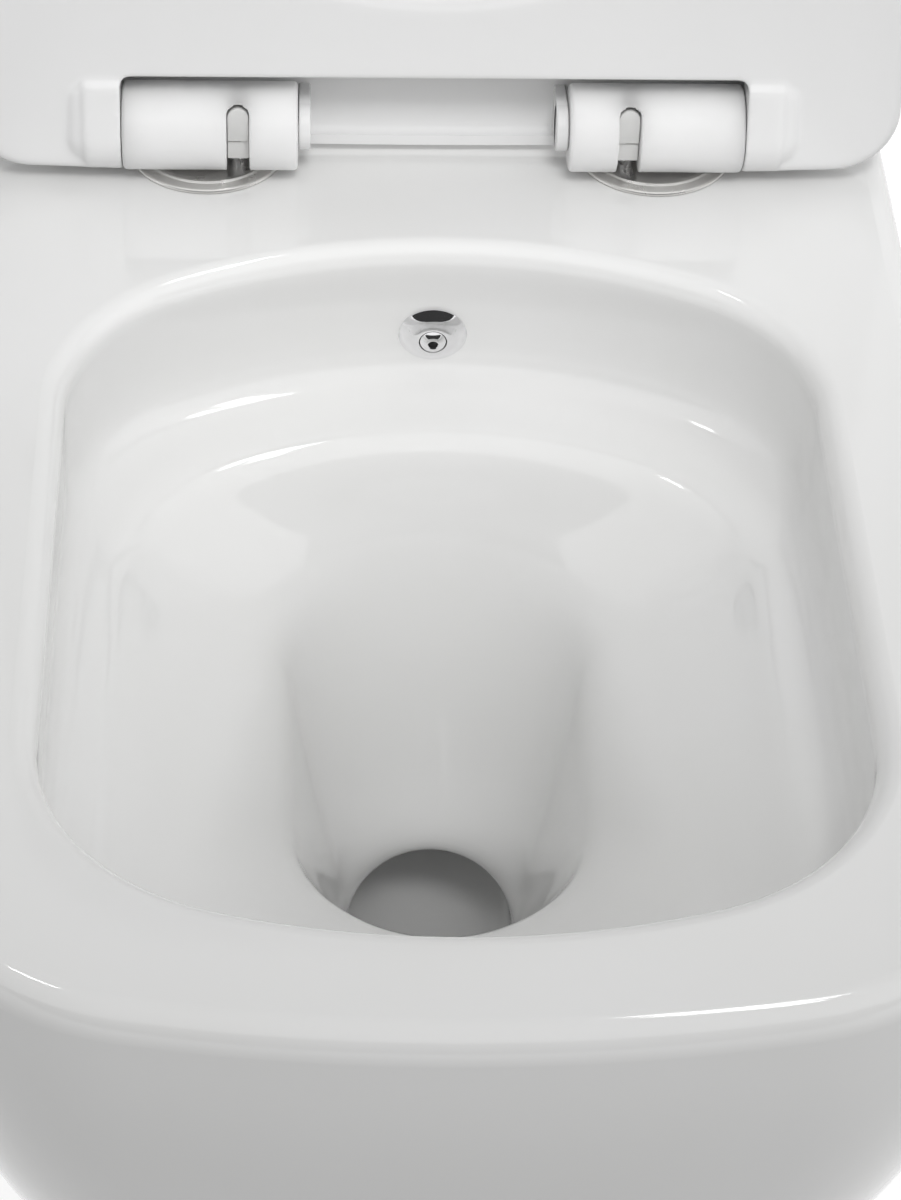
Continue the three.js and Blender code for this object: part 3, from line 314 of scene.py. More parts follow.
# The camera, fitted to the photo's measured points
CAMERA_PLACE = (-50.12, -1253.96, 874.20)
CAMERA_YAW = radians(3.07)
CAMERA_PITCH = radians(40.32)
CAMERA_ROLL = radians(-2.04)
FOCAL_PIXELS = 3660.45
IMAGE_HEIGHT = 1200
SENSOR_HEIGHT = 24
FLOOR_Z = -310


def rounded_end(half, reach, wide_arc, corner_arc):
    """Points from the middle of a rounded end to where the side begins."""
    arc_centre = reach - wide_arc
    corner_x = half - corner_arc
    corner_y = arc_centre + sqrt((wide_arc - corner_arc) ** 2 - corner_x ** 2)
    turn = atan2(corner_x, corner_y - arc_centre)
    points = []
    for i in range(ARC_STEPS):
        angle = turn * i / ARC_STEPS
        points.append((wide_arc * sin(angle), arc_centre + wide_arc * cos(angle)))
    for i in range(CORNER_STEPS + 1):
        angle = turn + (pi / 2 - turn) * i / CORNER_STEPS
        points.append((corner_x + corner_arc * sin(angle), corner_y + corner_arc * cos(angle)))
    return points


def mirrored(right_half):
    """A closed outline from its right half, back middle to front middle."""
    return right_half + [(-x, y) for x, y in reversed(right_half[1:-1])]


def side_points(start, end):
    start, way = np.array(start), np.array(end) - start
    return [tuple(start + way * i / SIDE_STEPS) for i in range(1, SIDE_STEPS)]


def rounded_outline(half, back, front, back_arc, back_corner, front_arc, front_corner):
    back_end = rounded_end(half, back, back_arc, back_corner)
    front_end = [(x, -y) for x, y in reversed(rounded_end(half, -front, front_arc, front_corner))]
    return mirrored(back_end + side_points(back_end[-1], front_end[0]) + front_end)


def pan_outline(half, depth, inset=0):
    """The pan's outline: straight along the wall, then the side, corner and front arc."""
    end = rounded_end(half - inset, depth - inset, PAN_FRONT_ARC - inset, PAN_FRONT_CORNER - inset)
    front = [(x, -y) for x, y in reversed(end)]
    steps = ARC_STEPS + CORNER_STEPS
    back = [(front[0][0] * i / steps, 0) for i in range(steps + 1)]
    return mirrored(back + side_points(back[-1], front[0]) + front)


def full_turn(steps):
    return 2 * pi * np.arange(steps) / steps


def at_height(outline, z):
    return np.array([(x, y, z) for x, y in outline])


def quarter_round(radius, steps=EDGE_STEPS):
    """Steps of a quarter round as (inset, drop), from the flat face to the side."""
    angles = [pi / 2 * i / steps for i in range(steps + 1)]
    return [(radius * (1 - sin(a)), radius * (1 - cos(a))) for a in angles]


def smooth_rows(rows, steps):
    """A smooth curve through the rows of a table."""
    table = np.array(rows)
    last = len(table) - 1
    result = []
    for i in range(last):
        before, start, end, after = (table[min(max(k, 0), last)] for k in (i - 1, i, i + 1, i + 2))
        slope_start, slope_end = (end - before) / 2, (after - start) / 2
        bend = 2 * (start - end) + slope_start + slope_end
        rise = 3 * (end - start) - 2 * slope_start - slope_end
        for t in np.arange(steps) / steps:
            result.append(start + t * (slope_start + t * (rise + t * bend)))
    result.append(table[last])
    return result


def eased(rings, passes):
    """Rings moved gently towards the mean of their neighbours, so that no band shows."""
    stack = np.array(rings)
    for _ in range(passes):
        stack[1:-1] += (stack[:-2] + stack[2:] - 2 * stack[1:-1]) / 4
    return list(stack)


@contextmanager
def edited(mesh):
    """A mesh's form for editing, written back at the end."""
    form = bmesh.new()
    form.from_mesh(mesh)
    yield form
    form.to_mesh(mesh)
    form.free()


def new_object(name, points, faces):
    """A mesh object from points in millimetres, smooth but for its sharp edges."""
    mesh = bpy.data.meshes.new(name)
    mesh.from_pydata([tuple(p) for p in np.array(points) * MM], [], faces)
    with edited(mesh) as form:
        bmesh.ops.remove_doubles(form, verts=form.verts, dist=POINT_WELD)
        bmesh.ops.recalc_face_normals(form, faces=form.faces)
        shade(form)
    piece = bpy.data.objects.new(name, mesh)
    bpy.context.scene.collection.objects.link(piece)
    return piece


def shade(form):
    for face in form.faces:
        face.smooth = True
    for edge in form.edges:
        edge.smooth = edge.calc_face_angle(0) < SHARP_ANGLE


def reshade(piece, weld=0):
    """Marks the sharp edges again, after points that lie closer than a weld are made one."""
    with edited(piece.data) as form:
        if weld:
            bmesh.ops.remove_doubles(form, verts=form.verts, dist=weld)
        shade(form)


def ring_faces(count, rings, keep=lambda face: True):
    faces = []
    for r in range(rings - 1):
        for i in range(count):
            j = (i + 1) % count
            face = (r * count + i, r * count + j, (r + 1) * count + j, (r + 1) * count + i)
            if keep(face):
                faces.append(face)
    return faces


def lofted(name, rings, capped=True):
    """A solid over rings of equally many points, with one face at each end or closed on itself."""
    count = len(rings[0])
    if not capped:
        rings = list(rings) + [rings[0]]
    faces = ring_faces(count, len(rings))
    if capped:
        faces += [tuple(range(count)), tuple(range((len(rings) - 1) * count, len(rings) * count))]
    return new_object(name, np.concatenate(rings), faces)


def turned(name, profile, steps=TURN_STEPS):
    """A solid turned about +Z from (radius, height) points that meet the axis or close up."""
    angle = full_turn(steps)
    on_axis = profile[0][0] == 0 and profile[-1][0] == 0
    loop = list(profile) if on_axis else list(profile) + [profile[0]]
    rings = [np.column_stack([r * np.cos(angle), r * np.sin(angle), np.full(steps, h)])
             for r, h in loop]
    return new_object(name, np.concatenate(rings), ring_faces(steps, len(rings)))


def rounded_profile(points, radius, steps=5, room=0.45):
    """Points whose inner corners are rounded, each within a share of its two sides."""
    result = [points[0]]
    for before, corner, after in zip(points, points[1:], points[2:]):
        b, c, a = (np.array(p, float) for p in (before, corner, after))
        reach_in, reach_out = np.linalg.norm(b - c), np.linalg.norm(a - c)
        reach = min(radius, reach_in * room, reach_out * room)
        start = c + (b - c) / reach_in * reach
        end = c + (a - c) / reach_out * reach
        for t in np.linspace(0, 1, steps):
            result.append(tuple((1 - t) ** 2 * start + 2 * t * (1 - t) * c + t ** 2 * end))
    result.append(points[-1])
    return result


def tube(name, radius, length, bore, edge, steps=TURN_STEPS):
    """A plain or bored cylinder from height 0 up, with rounded edges."""
    if not bore:
        corners = [(0, 0), (radius, 0), (radius, length), (0, length)]
        return turned(name, rounded_profile(corners, edge), steps)
    middle = (radius + bore) / 2
    corners = [(middle, 0), (radius, 0), (radius, length), (bore, length), (bore, 0), (middle, 0)]
    return turned(name, rounded_profile(corners, edge)[:-1], steps)


def wall_tube(name, x, z, *sizes):
    """A tube whose end lies in the wall plane."""
    return placed(tube(name, *sizes), TO_WALL, shift(x, -sizes[1], z))


def placed(piece, *matrices):
    """Moves a piece's points by the matrices, the first one first."""
    for matrix in matrices:
        piece.data.transform(matrix)
        if matrix.determinant() < 0:
            piece.data.flip_normals()
    piece.data.update()
    return piece


def shift(x, y, z):
    return Matrix.Translation(Vector((x, y, z)) * MM)


ALONG_X = Matrix.Rotation(pi / 2, 4, "Y")
TO_WALL = Matrix.Rotation(-pi / 2, 4, "X")
OUT_OF_WALL = Matrix.Rotation(pi / 2, 4, "X")
OTHER_SIDE = Matrix.Scale(-1, 4, (1, 0, 0))
AT_HINGE = shift(0, HINGE_Y, HINGE_Z)
OPENED = AT_HINGE @ Matrix.Rotation(-OPEN_ANGLE, 4, "X")
AT_JET = shift(0, JET_Y, JET_Z) @ Matrix.Rotation(JET_TILT, 4, "X")


def block(name, low, high, round_edge=0):
    """A box between two corners, with its edges rounded."""
    (x0, y0, z0), (x1, y1, z1) = low, high
    corners = [(x, y, z) for x in (x0, x1) for y in (y0, y1) for z in (z0, z1)]
    faces = [(0, 1, 3, 2), (4, 6, 7, 5), (0, 4, 5, 1), (2, 3, 7, 6), (0, 2, 6, 4), (1, 5, 7, 3)]
    piece = new_object(name, corners, faces)
    return bevelled(piece, round_edge) if round_edge else piece


def bevelled(piece, width, segments=4):
    edge = piece.modifiers.new("edge", "BEVEL")
    edge.width = width * MM
    edge.segments = segments
    edge.limit_method = "ANGLE"
    edge.angle_limit = BEVEL_ANGLE
    bake(piece)
    reshade(piece)
    return piece


def bake(piece):
    """Puts the result of a piece's modifiers into its mesh."""
    graph = bpy.context.evaluated_depsgraph_get()
    mesh = bpy.data.meshes.new_from_object(piece.evaluated_get(graph))
    piece.modifiers.clear()
    piece.data = mesh
    return piece


def combined(piece, other, operation):
    """Adds or takes away another solid, which is used up."""
    cut = piece.modifiers.new("cut", "BOOLEAN")
    cut.operation = operation
    cut.object = other
    cut.solver = "EXACT"
    bake(piece)
    bpy.data.objects.remove(other)
    return piece


def joined(piece, *others):
    """Puts other meshes into a piece's mesh as they are."""
    with edited(piece.data) as form:
        for other in others:
            form.from_mesh(other.data)
            bpy.data.objects.remove(other)
    return piece


def moulded(piece, grain, passes):
    """One even skin over a solid's joined shapes, with its edges eased as in a mould."""
    skin = piece.modifiers.new("skin", "REMESH")
    skin.mode = "VOXEL"
    skin.voxel_size = grain * MM
    skin.use_smooth_shade = True
    ease = piece.modifiers.new("ease", "SMOOTH")
    ease.factor = 0.5
    ease.iterations = passes
    return bake(piece)


def smoothed_where(piece, weight_at, passes):
    """Eases a piece's surface by a weight from 0 to 1 at each of its points."""
    count = len(piece.data.vertices)
    points = np.empty(count * 3)
    piece.data.vertices.foreach_get("co", points)
    weights = weight_at(points.reshape(-1, 3) / MM)
    group = piece.vertex_groups.new(name="eased")
    steps = 10
    for level in range(1, steps + 1):
        chosen = np.nonzero(np.round(weights * steps) == level)[0]
        if len(chosen):
            group.add([int(i) for i in chosen], level / steps, "REPLACE")
    ease = piece.modifiers.new("ease", "SMOOTH")
    ease.vertex_group = group.name
    ease.factor = 0.5
    ease.iterations = passes
    bake(piece)
    piece.vertex_groups.clear()
    return piece


def dress(piece, body, slot, *replaced):
    """Lets a piece ride on a body, gives it its material and hides the nodes it stands for."""
    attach(piece, body)
    if replaced:
        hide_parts(*replaced)
    piece.data.materials.clear()
    piece.data.materials.append(materials[slot])
    return piece


# The pan

def bowl_ring(shares, grow=0):
    back_level, front_level, width, back_end, front_end, *arcs = shares
    half = width * OPENING_WIDTH / 2 + grow
    back = -OPENING_FROM_WALL - back_end * OPENING_LENGTH + grow
    front = -OPENING_FROM_WALL - front_end * OPENING_LENGTH - grow
    outline = np.array(rounded_outline(half, back, front, *(share * half for share in arcs)))
    along = (back - outline[:, 1]) / (back - front)
    level = back_level + (front_level - back_level) * along
    return np.column_stack([outline, RIM_Z - level * BOWL_DEPTH - grow])


def opening_ring(grow, z):
    """A ring of the opening's rounded edge, grown evenly outwards."""
    half = OPENING_WIDTH / 2
    arcs = [share * half + grow for share in BOWL_SHARES[0][5:]]
    back, front = -OPENING_FROM_WALL, -OPENING_FROM_WALL - OPENING_LENGTH
    return at_height(rounded_outline(half + grow, back + grow, front - grow, *arcs), z)


def trap_ring(y, z, heading, radius, count):
    angle = full_turn(count)
    across, up = radius * np.sin(angle), radius * np.cos(angle)
    return np.column_stack([across, y - sin(heading) * up, z + cos(heading) * up])


def trap_line():
    """The trap's centre line as (y, z, heading, radius)."""
    bend_y, bend_z = TRAP_BEND_RADIUS - THROAT_FROM_WALL, RIM_Z - BOWL_DEPTH
    line = []
    for heading in np.linspace(-pi / 2, RISING_ANGLE, 20):
        y = bend_y + TRAP_BEND_RADIUS * sin(heading)
        line.append((y, bend_z - TRAP_BEND_RADIUS * cos(heading), heading, THROAT_RADIUS))
    weir_y, weir_z = -WEIR_FROM_WALL, RIM_Z - WEIR_BELOW_RIM
    for heading in np.linspace(RISING_ANGLE, 0, 10):
        y = weir_y - TRAP_BEND_RADIUS * sin(heading)
        line.append((y, weir_z - TRAP_BEND_RADIUS * (1 - cos(heading)), heading, WEIR_RADIUS))
    for along, fallen, widened, slope in smooth_rows(FALL_SHARES, 4)[1:]:
        z = weir_z + (-OUTLET_BELOW_STUDS - weir_z) * fallen
        radius = WEIR_RADIUS + (OUTLET_RADIUS - WEIR_RADIUS) * widened
        line.append((weir_y * (1 - along), z, -slope, radius))
    return line


def pan_level(row, inset=0, drop=0):
    outline = pan_outline(row[1] * PAN_WIDTH / 2, row[2] * PAN_DEPTH, inset)
    return at_height(outline, RIM_Z - row[0] * PAN_HEIGHT - drop)


CASTINGS = ["pan_ceramic", "bowl_ceramic", "trap_inlet_ceramic", "trap_bend_ceramic",
            "trap_weir_ceramic", "outlet_ceramic"]
TOP_ROW = [0, 1, 1]
FOOT_ROW = [1, PAN_SHARES[-1][1], PAN_SHARES[-1][2]]


def outside_rings():
    """Rings of the glazed outside, from the foot's middle up and over the rim."""
    rings = [pan_level(FOOT_ROW, share * PAN_WIDTH / 2) for share in (0.45, 0.3, 0.15)]
    foot = [pan_level(FOOT_ROW, inset, -rise) for inset, rise in quarter_round(FOOT_EDGE_RADIUS)]
    side = [pan_level(row) for row in reversed(smooth_rows(PAN_SHARES, ROW_STEPS))]
    rim = [pan_level(TOP_ROW, inset, drop) for inset, drop in reversed(quarter_round(RIM_EDGE_RADIUS))]
    return rings + foot + eased(side, SIDE_EASING) + rim


def deck_rings(outer, edge):
    shares = (0.01, 0.05, 0.2, 0.4, 0.6, 0.8, 0.95, 0.99)
    return [outer] + [outer + (edge - outer) * share for share in shares] + [edge]


def trap_skin(line, wall, count):
    return [trap_ring(y, z, heading, radius + wall, count) for y, z, heading, radius in line]


def spigot_end(count):
    """The rounded end of the outlet, from its bore to its outside."""
    outer = OUTLET_RADIUS + TRAP_WALL
    edge, corner = SPIGOT_EDGE, SPIGOT_CORNER
    steps = [(-edge, OUTLET_RADIUS), (-corner, OUTLET_RADIUS + corner), (0, OUTLET_RADIUS + edge),
             (0, outer - edge), (-corner, outer - corner), (-edge, outer)]
    return [trap_ring(y, -OUTLET_BELOW_STUDS, 0, radius, count) for y, radius in steps]


def water_rings(count):
    """Rings of the bowl and trap inside, the spigot's end, and both outsides back to the deck."""
    edge = [opening_ring(inset, RIM_Z - drop) for inset, drop in quarter_round(OPENING_EDGE_RADIUS)]
    rows = smooth_rows(BOWL_SHARES, ROW_STEPS)
    line = trap_line()
    inside = eased([bowl_ring(row) for row in rows] + trap_skin(line, 0, count), WATER_EASING)
    mouth = trap_skin(line[:1], BOWL_WALL, count)
    bowl_back = eased([bowl_ring(row, BOWL_WALL) for row in rows] + mouth, WATER_EASING)
    top = bowl_back[0] * [1, 1, 0] + [0, 0, RIM_Z - DECK_THICKNESS]
    outside = trap_skin(reversed(line[:-1]), TRAP_WALL, count) + list(reversed(bowl_back))
    return edge[:-1] + inside[:-1] + spigot_end(count) + outside + [top]


def hollow_rings(top):
    """Rings of the hollow's inside, from the bowl's top under the deck down to the floor."""
    wall = CERAMIC_WALL
    under = [pan_level(TOP_ROW, wall + inset, DECK_THICKNESS + drop)
             for inset, drop in quarter_round(HOLLOW_FILLET, FILLET_STEPS)]
    rows = [row for row in smooth_rows(PAN_SHARES, ROW_STEPS)
            if row[0] * PAN_HEIGHT > DECK_THICKNESS + HOLLOW_SIDE_BELOW_DECK]
    side = eased([pan_level(row, wall) for row in rows], SIDE_EASING)
    foot = [pan_level(FOOT_ROW, wall + inset, -wall - rise)
            for inset, rise in reversed(quarter_round(FOOT_EDGE_RADIUS, FILLET_STEPS))]
    floor = [pan_level(FOOT_ROW, wall + FOOT_EDGE_RADIUS + share * PAN_WIDTH / 2, -wall)
             for share in (0.12, 0.25, 0.4)]
    lowest = side[-1][0][2] - (wall - FOOT_EDGE_RADIUS) / 100
    return [top] + under + side + [ring for ring in foot if ring[0][2] < lowest] + floor


def open_skin(name, rings):
    """A skin over pan rings, open where it meets the wall."""
    points = np.concatenate(rings)
    at_wall = np.abs(points[:, 1]) < 1e-6
    count = len(rings[0])
    faces = ring_faces(count, len(rings), lambda face: not all(at_wall[k] for k in face))
    foot = {"outside": range(count), "hollow": range(len(points) - count, len(points))}[name]
    return new_object(name, points, faces + [tuple(foot)])


def wall_edge(outside, hollow):
    """The flat back edge of the ceramic, between the outside and the hollow."""
    def corner_line(rings):
        side = ARC_STEPS + CORNER_STEPS
        return [Vector((ring[side][0], 0, ring[side][2])) for ring in rings if abs(ring[side][1]) < 1e-6]

    def both_sides(line):
        return line + [Vector((-p.x, 0, p.z)) for p in reversed(line)]

    loops = [both_sides(corner_line(outside)), both_sides(corner_line(hollow))]
    triangles = tessellate_polygon(loops)
    return new_object("edge", [tuple(p) for loop in loops for p in loop], triangles)


def inner_carriers():
    """The inlet's horn, the rib below it and the two fixing bosses with their webs."""
    horn_length = INLET_DEPTH + CERAMIC_WALL
    outer = INLET_RADIUS + INLET_WALL
    horn_profile = rounded_profile([
        (0, 0), (outer, 0), (outer, horn_length), (INLET_RADIUS, horn_length),
        (INLET_RADIUS, CERAMIC_WALL), (0, CERAMIC_WALL)], HORN_EDGE)
    horn = placed(turned("horn", horn_profile), TO_WALL, shift(0, -horn_length, INLET_Z))
    pieces = [horn, inlet_rib(horn_length)]
    low = (STUD_X + BOSS_BORE + WEB_FROM_BORE, 1 - BOSS_LENGTH, -WEB_HEIGHT / 2)
    high = (WEB_END_X, -WEB_RECESS, WEB_HEIGHT / 2)
    boss = (BOSS_RADIUS, BOSS_LENGTH, BOSS_BORE, BOSS_EDGE)
    for side in (1, -1):
        pieces.append(wall_tube("boss", side * STUD_X, 0, *boss))
        web = block("web", low, high, RIB_EDGE)
        pieces.append(placed(web, OTHER_SIDE) if side < 0 else web)
    return pieces


def inlet_rib(horn_length):
    """The rib from the deck down, with the horn's bore cut out of it."""
    half = RIB_THICKNESS / 2
    front, back, top = -INLET_DEPTH, -WEB_RECESS, RIM_Z - DECK_THICKNESS + RIB_INTO_DECK
    side = ((front, RIB_FRONT_FOOT), (back, RIB_BACK_FOOT), (back, top), (front, top))
    corners = [(x, y, z) for x in (-half, half) for y, z in side]
    faces = [(0, 1, 2, 3), (4, 7, 6, 5), (0, 4, 5, 1), (1, 5, 6, 2), (2, 6, 7, 3), (3, 7, 4, 0)]
    rib = bevelled(new_object("rib", corners, faces), RIB_EDGE)
    bore = tube("bore", INLET_RADIUS + INLET_WALL / 2, 2 * horn_length, 0, 0.5)
    return combined(rib, placed(bore, TO_WALL, shift(0, -1.5 * horn_length, INLET_Z)), "DIFFERENCE")


def make_pan():
    outside = outside_rings()
    count = len(outside[0])
    edge = opening_ring(OPENING_EDGE_RADIUS, RIM_Z)
    water = water_rings(count)
    hollow = hollow_rings(water[-1])
    skin = open_skin("outside", outside + deck_rings(outside[-1], edge)[1:])
    flow = lofted_open("flow", water)
    room = open_skin("hollow", hollow)
    back = wall_edge(outside, hollow[1:])
    pan = joined(new_object("pan_glazed", [], []), skin, flow, room, back, *inner_carriers())
    reshade(pan, PAN_WELD)
    return dress(pan, "pan", "glaze", *CASTINGS)


def lofted_open(name, rings):
    """A skin over rings, open at both ends."""
    return new_object(name, np.concatenate(rings), ring_faces(len(rings[0]), len(rings)))


# The seat, drawn closed about the hinge axis

def seat_outline(inset):
    return rounded_outline(
        SEAT_WIDTH / 2 - inset, SEAT_REAR_REACH - inset, inset - SEAT_FRONT, SEAT_REAR_ARC,
        SEAT_REAR_CORNER - inset, PAN_FRONT_ARC - inset, PAN_FRONT_CORNER - inset)


def seat_hole_outline(grow):
    half = SEAT_HOLE_WIDTH / 2 + grow
    arcs = [share * half for share in SEAT_HOLE_SHARES]
    return rounded_outline(half, grow - SEAT_HOLE_REAR, SEAT_FRONT_BAND - SEAT_FRONT - grow, *arcs)


def seat_body():
    foot, top = -SEAT_BELOW_AXIS, SEAT_TOP
    edge = quarter_round(SEAT_EDGE_RADIUS)
    lip = [(grow * SEAT_HOLE_SPREAD, drop) for grow, drop in quarter_round(SEAT_HOLE_EDGE_RADIUS)]
    rings = [at_height(seat_outline(inset), foot + drop) for inset, drop in edge]
    rings += [at_height(seat_outline(inset), top - drop) for inset, drop in reversed(edge)]
    rings += [at_height(seat_hole_outline(grow), top - drop) for grow, drop in lip]
    rings += [at_height(seat_hole_outline(grow), foot + drop) for grow, drop in reversed(lip)]
    body = lofted("seat_moulded", rings, capped=False)
    low = (-LUG_INNER_END, -SEAT_NOTCH_REACH, foot - CUT_OVERRUN)
    high = (LUG_INNER_END, SEAT_REAR_REACH + CUT_OVERRUN, top + CUT_OVERRUN)
    return combined(body, block("notch", low, high, SEAT_NOTCH_CORNER), "DIFFERENCE")


def raised_form(name):
    """A bulge under the seat: the skin around two discs, running outwards from the barrel's end."""
    axle, crest, length, end_round = RAISED_FORMS[name]
    steps = [(inset, length - drop) for inset, drop in reversed(quarter_round(end_round))]
    rings = []
    for inset, along in [(0, 0)] + steps:
        ring = []
        for angle in full_turn(TURN_STEPS):
            out_y, out_z = cos(angle), sin(angle)
            reach = [y * out_y + z * out_z + radius for y, z, radius in (axle, crest)]
            y, z, radius = crest if reach[1] > reach[0] else axle
            ring.append((along, y + (radius - inset) * out_y, z + (radius - inset) * out_z))
        rings.append(np.array(ring))
    return placed(lofted(name, rings), shift(LUG_INNER_END, 0, 0))


def near_lug(points):
    """1 around the lug and its shoulder, falling to 0 away from there and at the barrel's end."""
    beyond = np.maximum(np.abs(points[:, 0]) - LUG_INNER_END - SHOULDER_LENGTH, 0)
    beside = np.maximum(np.abs(points[:, 1]) - SEAT_NOTCH_REACH, 0)
    away = np.clip(1 - np.hypot(beyond, beside) / LUG_EASE_REACH, 0, 1)
    from_barrel = np.clip((np.abs(points[:, 0]) - LUG_INNER_END - LUG_KEPT) / LUG_KEPT_BLEND, 0, 1)
    return away * from_barrel * (points[:, 2] < SEAT_TOP - LUG_EASE_BELOW_TOP)


def make_seat():
    seat = seat_body()
    for form in RAISED_FORMS:
        combined(seat, raised_form(form), "UNION")
        combined(seat, placed(raised_form(form), OTHER_SIDE), "UNION")
    moulded(seat, SEAT_GRAIN, SEAT_EASING)
    smoothed_where(seat, near_lug, LUG_EASING)
    placed(seat, OPENED)
    return dress(seat, "seat", "seat_plastic", "seat_ring")


# The cover, drawn closed about the hinge axis

def cover_outline(inset):
    margin = inset + COVER_INSET
    return rounded_outline(
        SEAT_WIDTH / 2 - margin, COVER_REAR_REACH - inset, margin - SEAT_FRONT, SEAT_REAR_ARC,
        SEAT_REAR_CORNER - inset, PAN_FRONT_ARC - margin, PAN_FRONT_CORNER - margin)


def crown_ring(share, z):
    rim = at_height(cover_outline(COVER_EDGE_RADIUS), z)
    middle = (COVER_REAR_REACH - SEAT_FRONT) / 2
    rim[:, 0] *= 1 - share
    rim[:, 1] = middle + (rim[:, 1] - middle) * (1 - share)
    return rim


def cover_body():
    """The cover's plate and skirt, from the middle of its underside round to the middle of its top."""
    top = COVER_UNDERSIDE + COVER_PLATE
    lip = quarter_round(MOULD_EDGE, 3)
    wall = COVER_SKIRT_WALL
    rings = [crown_ring(share, COVER_UNDERSIDE) for share in (0.8, 0.6, 0.3, 0.1)]
    rings += [at_height(cover_outline(wall + inset), COVER_UNDERSIDE - drop)
              for inset, drop in quarter_round(wall, 5)]
    rings += [at_height(cover_outline(wall - inset), COVER_FOOT + drop) for inset, drop in reversed(lip)]
    rings += [at_height(cover_outline(inset), COVER_FOOT + drop) for inset, drop in lip]
    rings += [at_height(cover_outline(inset), top - drop)
              for inset, drop in reversed(quarter_round(COVER_EDGE_RADIUS))]
    for share in COVER_SHARES:
        rise = COVER_RISE_SHARE * COVER_CROWN * (1 - (1 - min(share / COVER_CROWN_SHARE, 1)) ** 2)
        rings.append(crown_ring(share, top + rise))
    return lofted("cover_moulded", rings)


def make_cover():
    cover = cover_body()
    half = LUG_INNER_END + SHOULDER_LENGTH + COVER_SKIRT_WALL
    low = (-half, -SEAT_NOTCH_REACH, COVER_FOOT - CUT_OVERRUN)
    high = (half, COVER_REAR_REACH + CUT_OVERRUN, COVER_UNDERSIDE - COVER_LIP)
    combined(cover, block("gap", low, high, COVER_GAP_EDGE), "DIFFERENCE")
    ears = [cover_ear(), placed(cover_ear(), OTHER_SIDE)]
    joined(cover, *ears)
    reshade(cover)
    placed(cover, OPENED)
    return dress(cover, "cover", "seat_plastic", "cover_shell")


def cover_ear():
    start = BARREL_INNER_END - GAP - EAR_WIDTH
    disc = tube("ear", EAR_RADIUS, EAR_WIDTH, 0, MOULD_EDGE)
    top = COVER_UNDERSIDE + COVER_PLATE / 2
    web = block("web", (start, -EAR_RADIUS, 0), (start + EAR_WIDTH, EAR_RADIUS, top), MOULD_EDGE)
    return joined(placed(disc, ALONG_X, shift(start, 0, 0)), web)


# The hinge's barrels, clips, posts and discs, drawn for the right side

def arch_plate(name, width, foot, arch, front, back):
    """A plate with a round top, standing in x and z between two depths."""
    outline = [(-width / 2, foot), (width / 2, foot)] + arch
    rings = [np.array([(x, y, z) for x, z in outline]) for y in (front, back)]
    return lofted(name, rings)


def round_arch(width, top):
    """A half round with its top at a height."""
    radius = width / 2
    return [(radius * cos(a), top - radius + radius * sin(a)) for a in ARCH_ANGLES]


def wrapped_arch(width, top):
    """A half round laid along a barrel's skin, so that it looks round from above."""
    flat = round_arch(width, BARREL_RADIUS * asin(top / BARREL_RADIUS))
    return [(x, BARREL_RADIUS * sin(along / BARREL_RADIUS)) for x, along in flat]


def barrel():
    body = tube("barrel", BARREL_RADIUS, BARREL_LENGTH, 0, 2 * BARREL_EDGE_RADIUS)
    placed(body, ALONG_X, shift(BARREL_INNER_END, 0, 0))
    depth = POST_RADIUS - POST_IN_FRONT + 2 * GAP
    arch = wrapped_arch(SLOT_WIDTH, SLOT_TOP_ABOVE_AXIS)
    outside = -BARREL_RADIUS - CUT_OVERRUN
    slot = arch_plate("slot", SLOT_WIDTH, outside, arch, outside, depth)
    combined(body, placed(slot, shift(POST_X, 0, 0)), "DIFFERENCE")
    return moulded(body, BARREL_GRAIN, BARREL_EASING)


def post_clip():
    width = SLOT_WIDTH - 2 * GAP
    arch = round_arch(width, SLOT_TOP_ABOVE_AXIS - CLIP_TOP_BELOW_SLOT)
    front, back = -CLIP_FRONT, -CLIP_FRONT + CLIP_THICKNESS
    thin = arch_plate("post_clip_face", width, -CLIP_FOOT_BELOW_AXIS, arch, front + CLIP_STEP, back)
    low = (width * (CLIP_BRIDGE_SHARE - 0.5), front - 1, -CLIP_STEP_BELOW_AXIS - CLIP_GROOVE)
    groove = block("groove", low, (width, back - 0.5, -CLIP_STEP_BELOW_AXIS))
    combined(thin, groove, "DIFFERENCE")
    thick = arch_plate("thick", width, -CLIP_STEP_BELOW_AXIS, arch, front, back)
    return placed(joined(bevelled(thin, 0.15), bevelled(thick, 0.25)), shift(POST_X, 0, 0))


def disc_ring():
    """The ring from its low outer edge up a slope to the bead around the plate."""
    inner, outer, top = DISC_RADIUS - DISC_RING_WIDTH, DISC_RADIUS, DISC_HEIGHT
    middle, bead = (inner + outer) / 2, inner + DISC_BEAD_WIDTH
    low, edge, round_off = top - DISC_RING_DROP, DISC_RING_EDGE, DISC_BEAD_EDGE
    corners = [(middle, GAP), (outer, GAP), (outer, low), (outer - edge, low + edge),
               (bead + round_off, top - DISC_SLOPE_DROP), (bead, top), (inner + round_off, top),
               (inner, top - edge), (inner, GAP), (middle, GAP)]
    return turned("base_disc_ring", rounded_profile(corners, 0.45)[:-1], FINE_TURN_STEPS)


def disc_plate():
    outer = DISC_RADIUS - DISC_RING_WIDTH - GAP
    return tube("base_disc_plate", outer, PLATE_HEIGHT - GAP, 0, 0.4, FINE_TURN_STEPS)


def post():
    height = HINGE_Z - RIM_Z + POST_TOP_ABOVE_AXIS - GAP
    low, depth = height - POST_NECK_FROM_TOP, POST_NECK_DEPTH
    high, waist = low + POST_NECK_LENGTH, POST_RADIUS - depth
    corners = [(0, 0), (POST_RADIUS, 0), (POST_RADIUS, low), (waist, low + depth),
               (waist, high - depth), (POST_RADIUS, high), (POST_RADIUS, height), (0, height)]
    return turned("hinge_post_steel", rounded_profile(corners, 0.5))


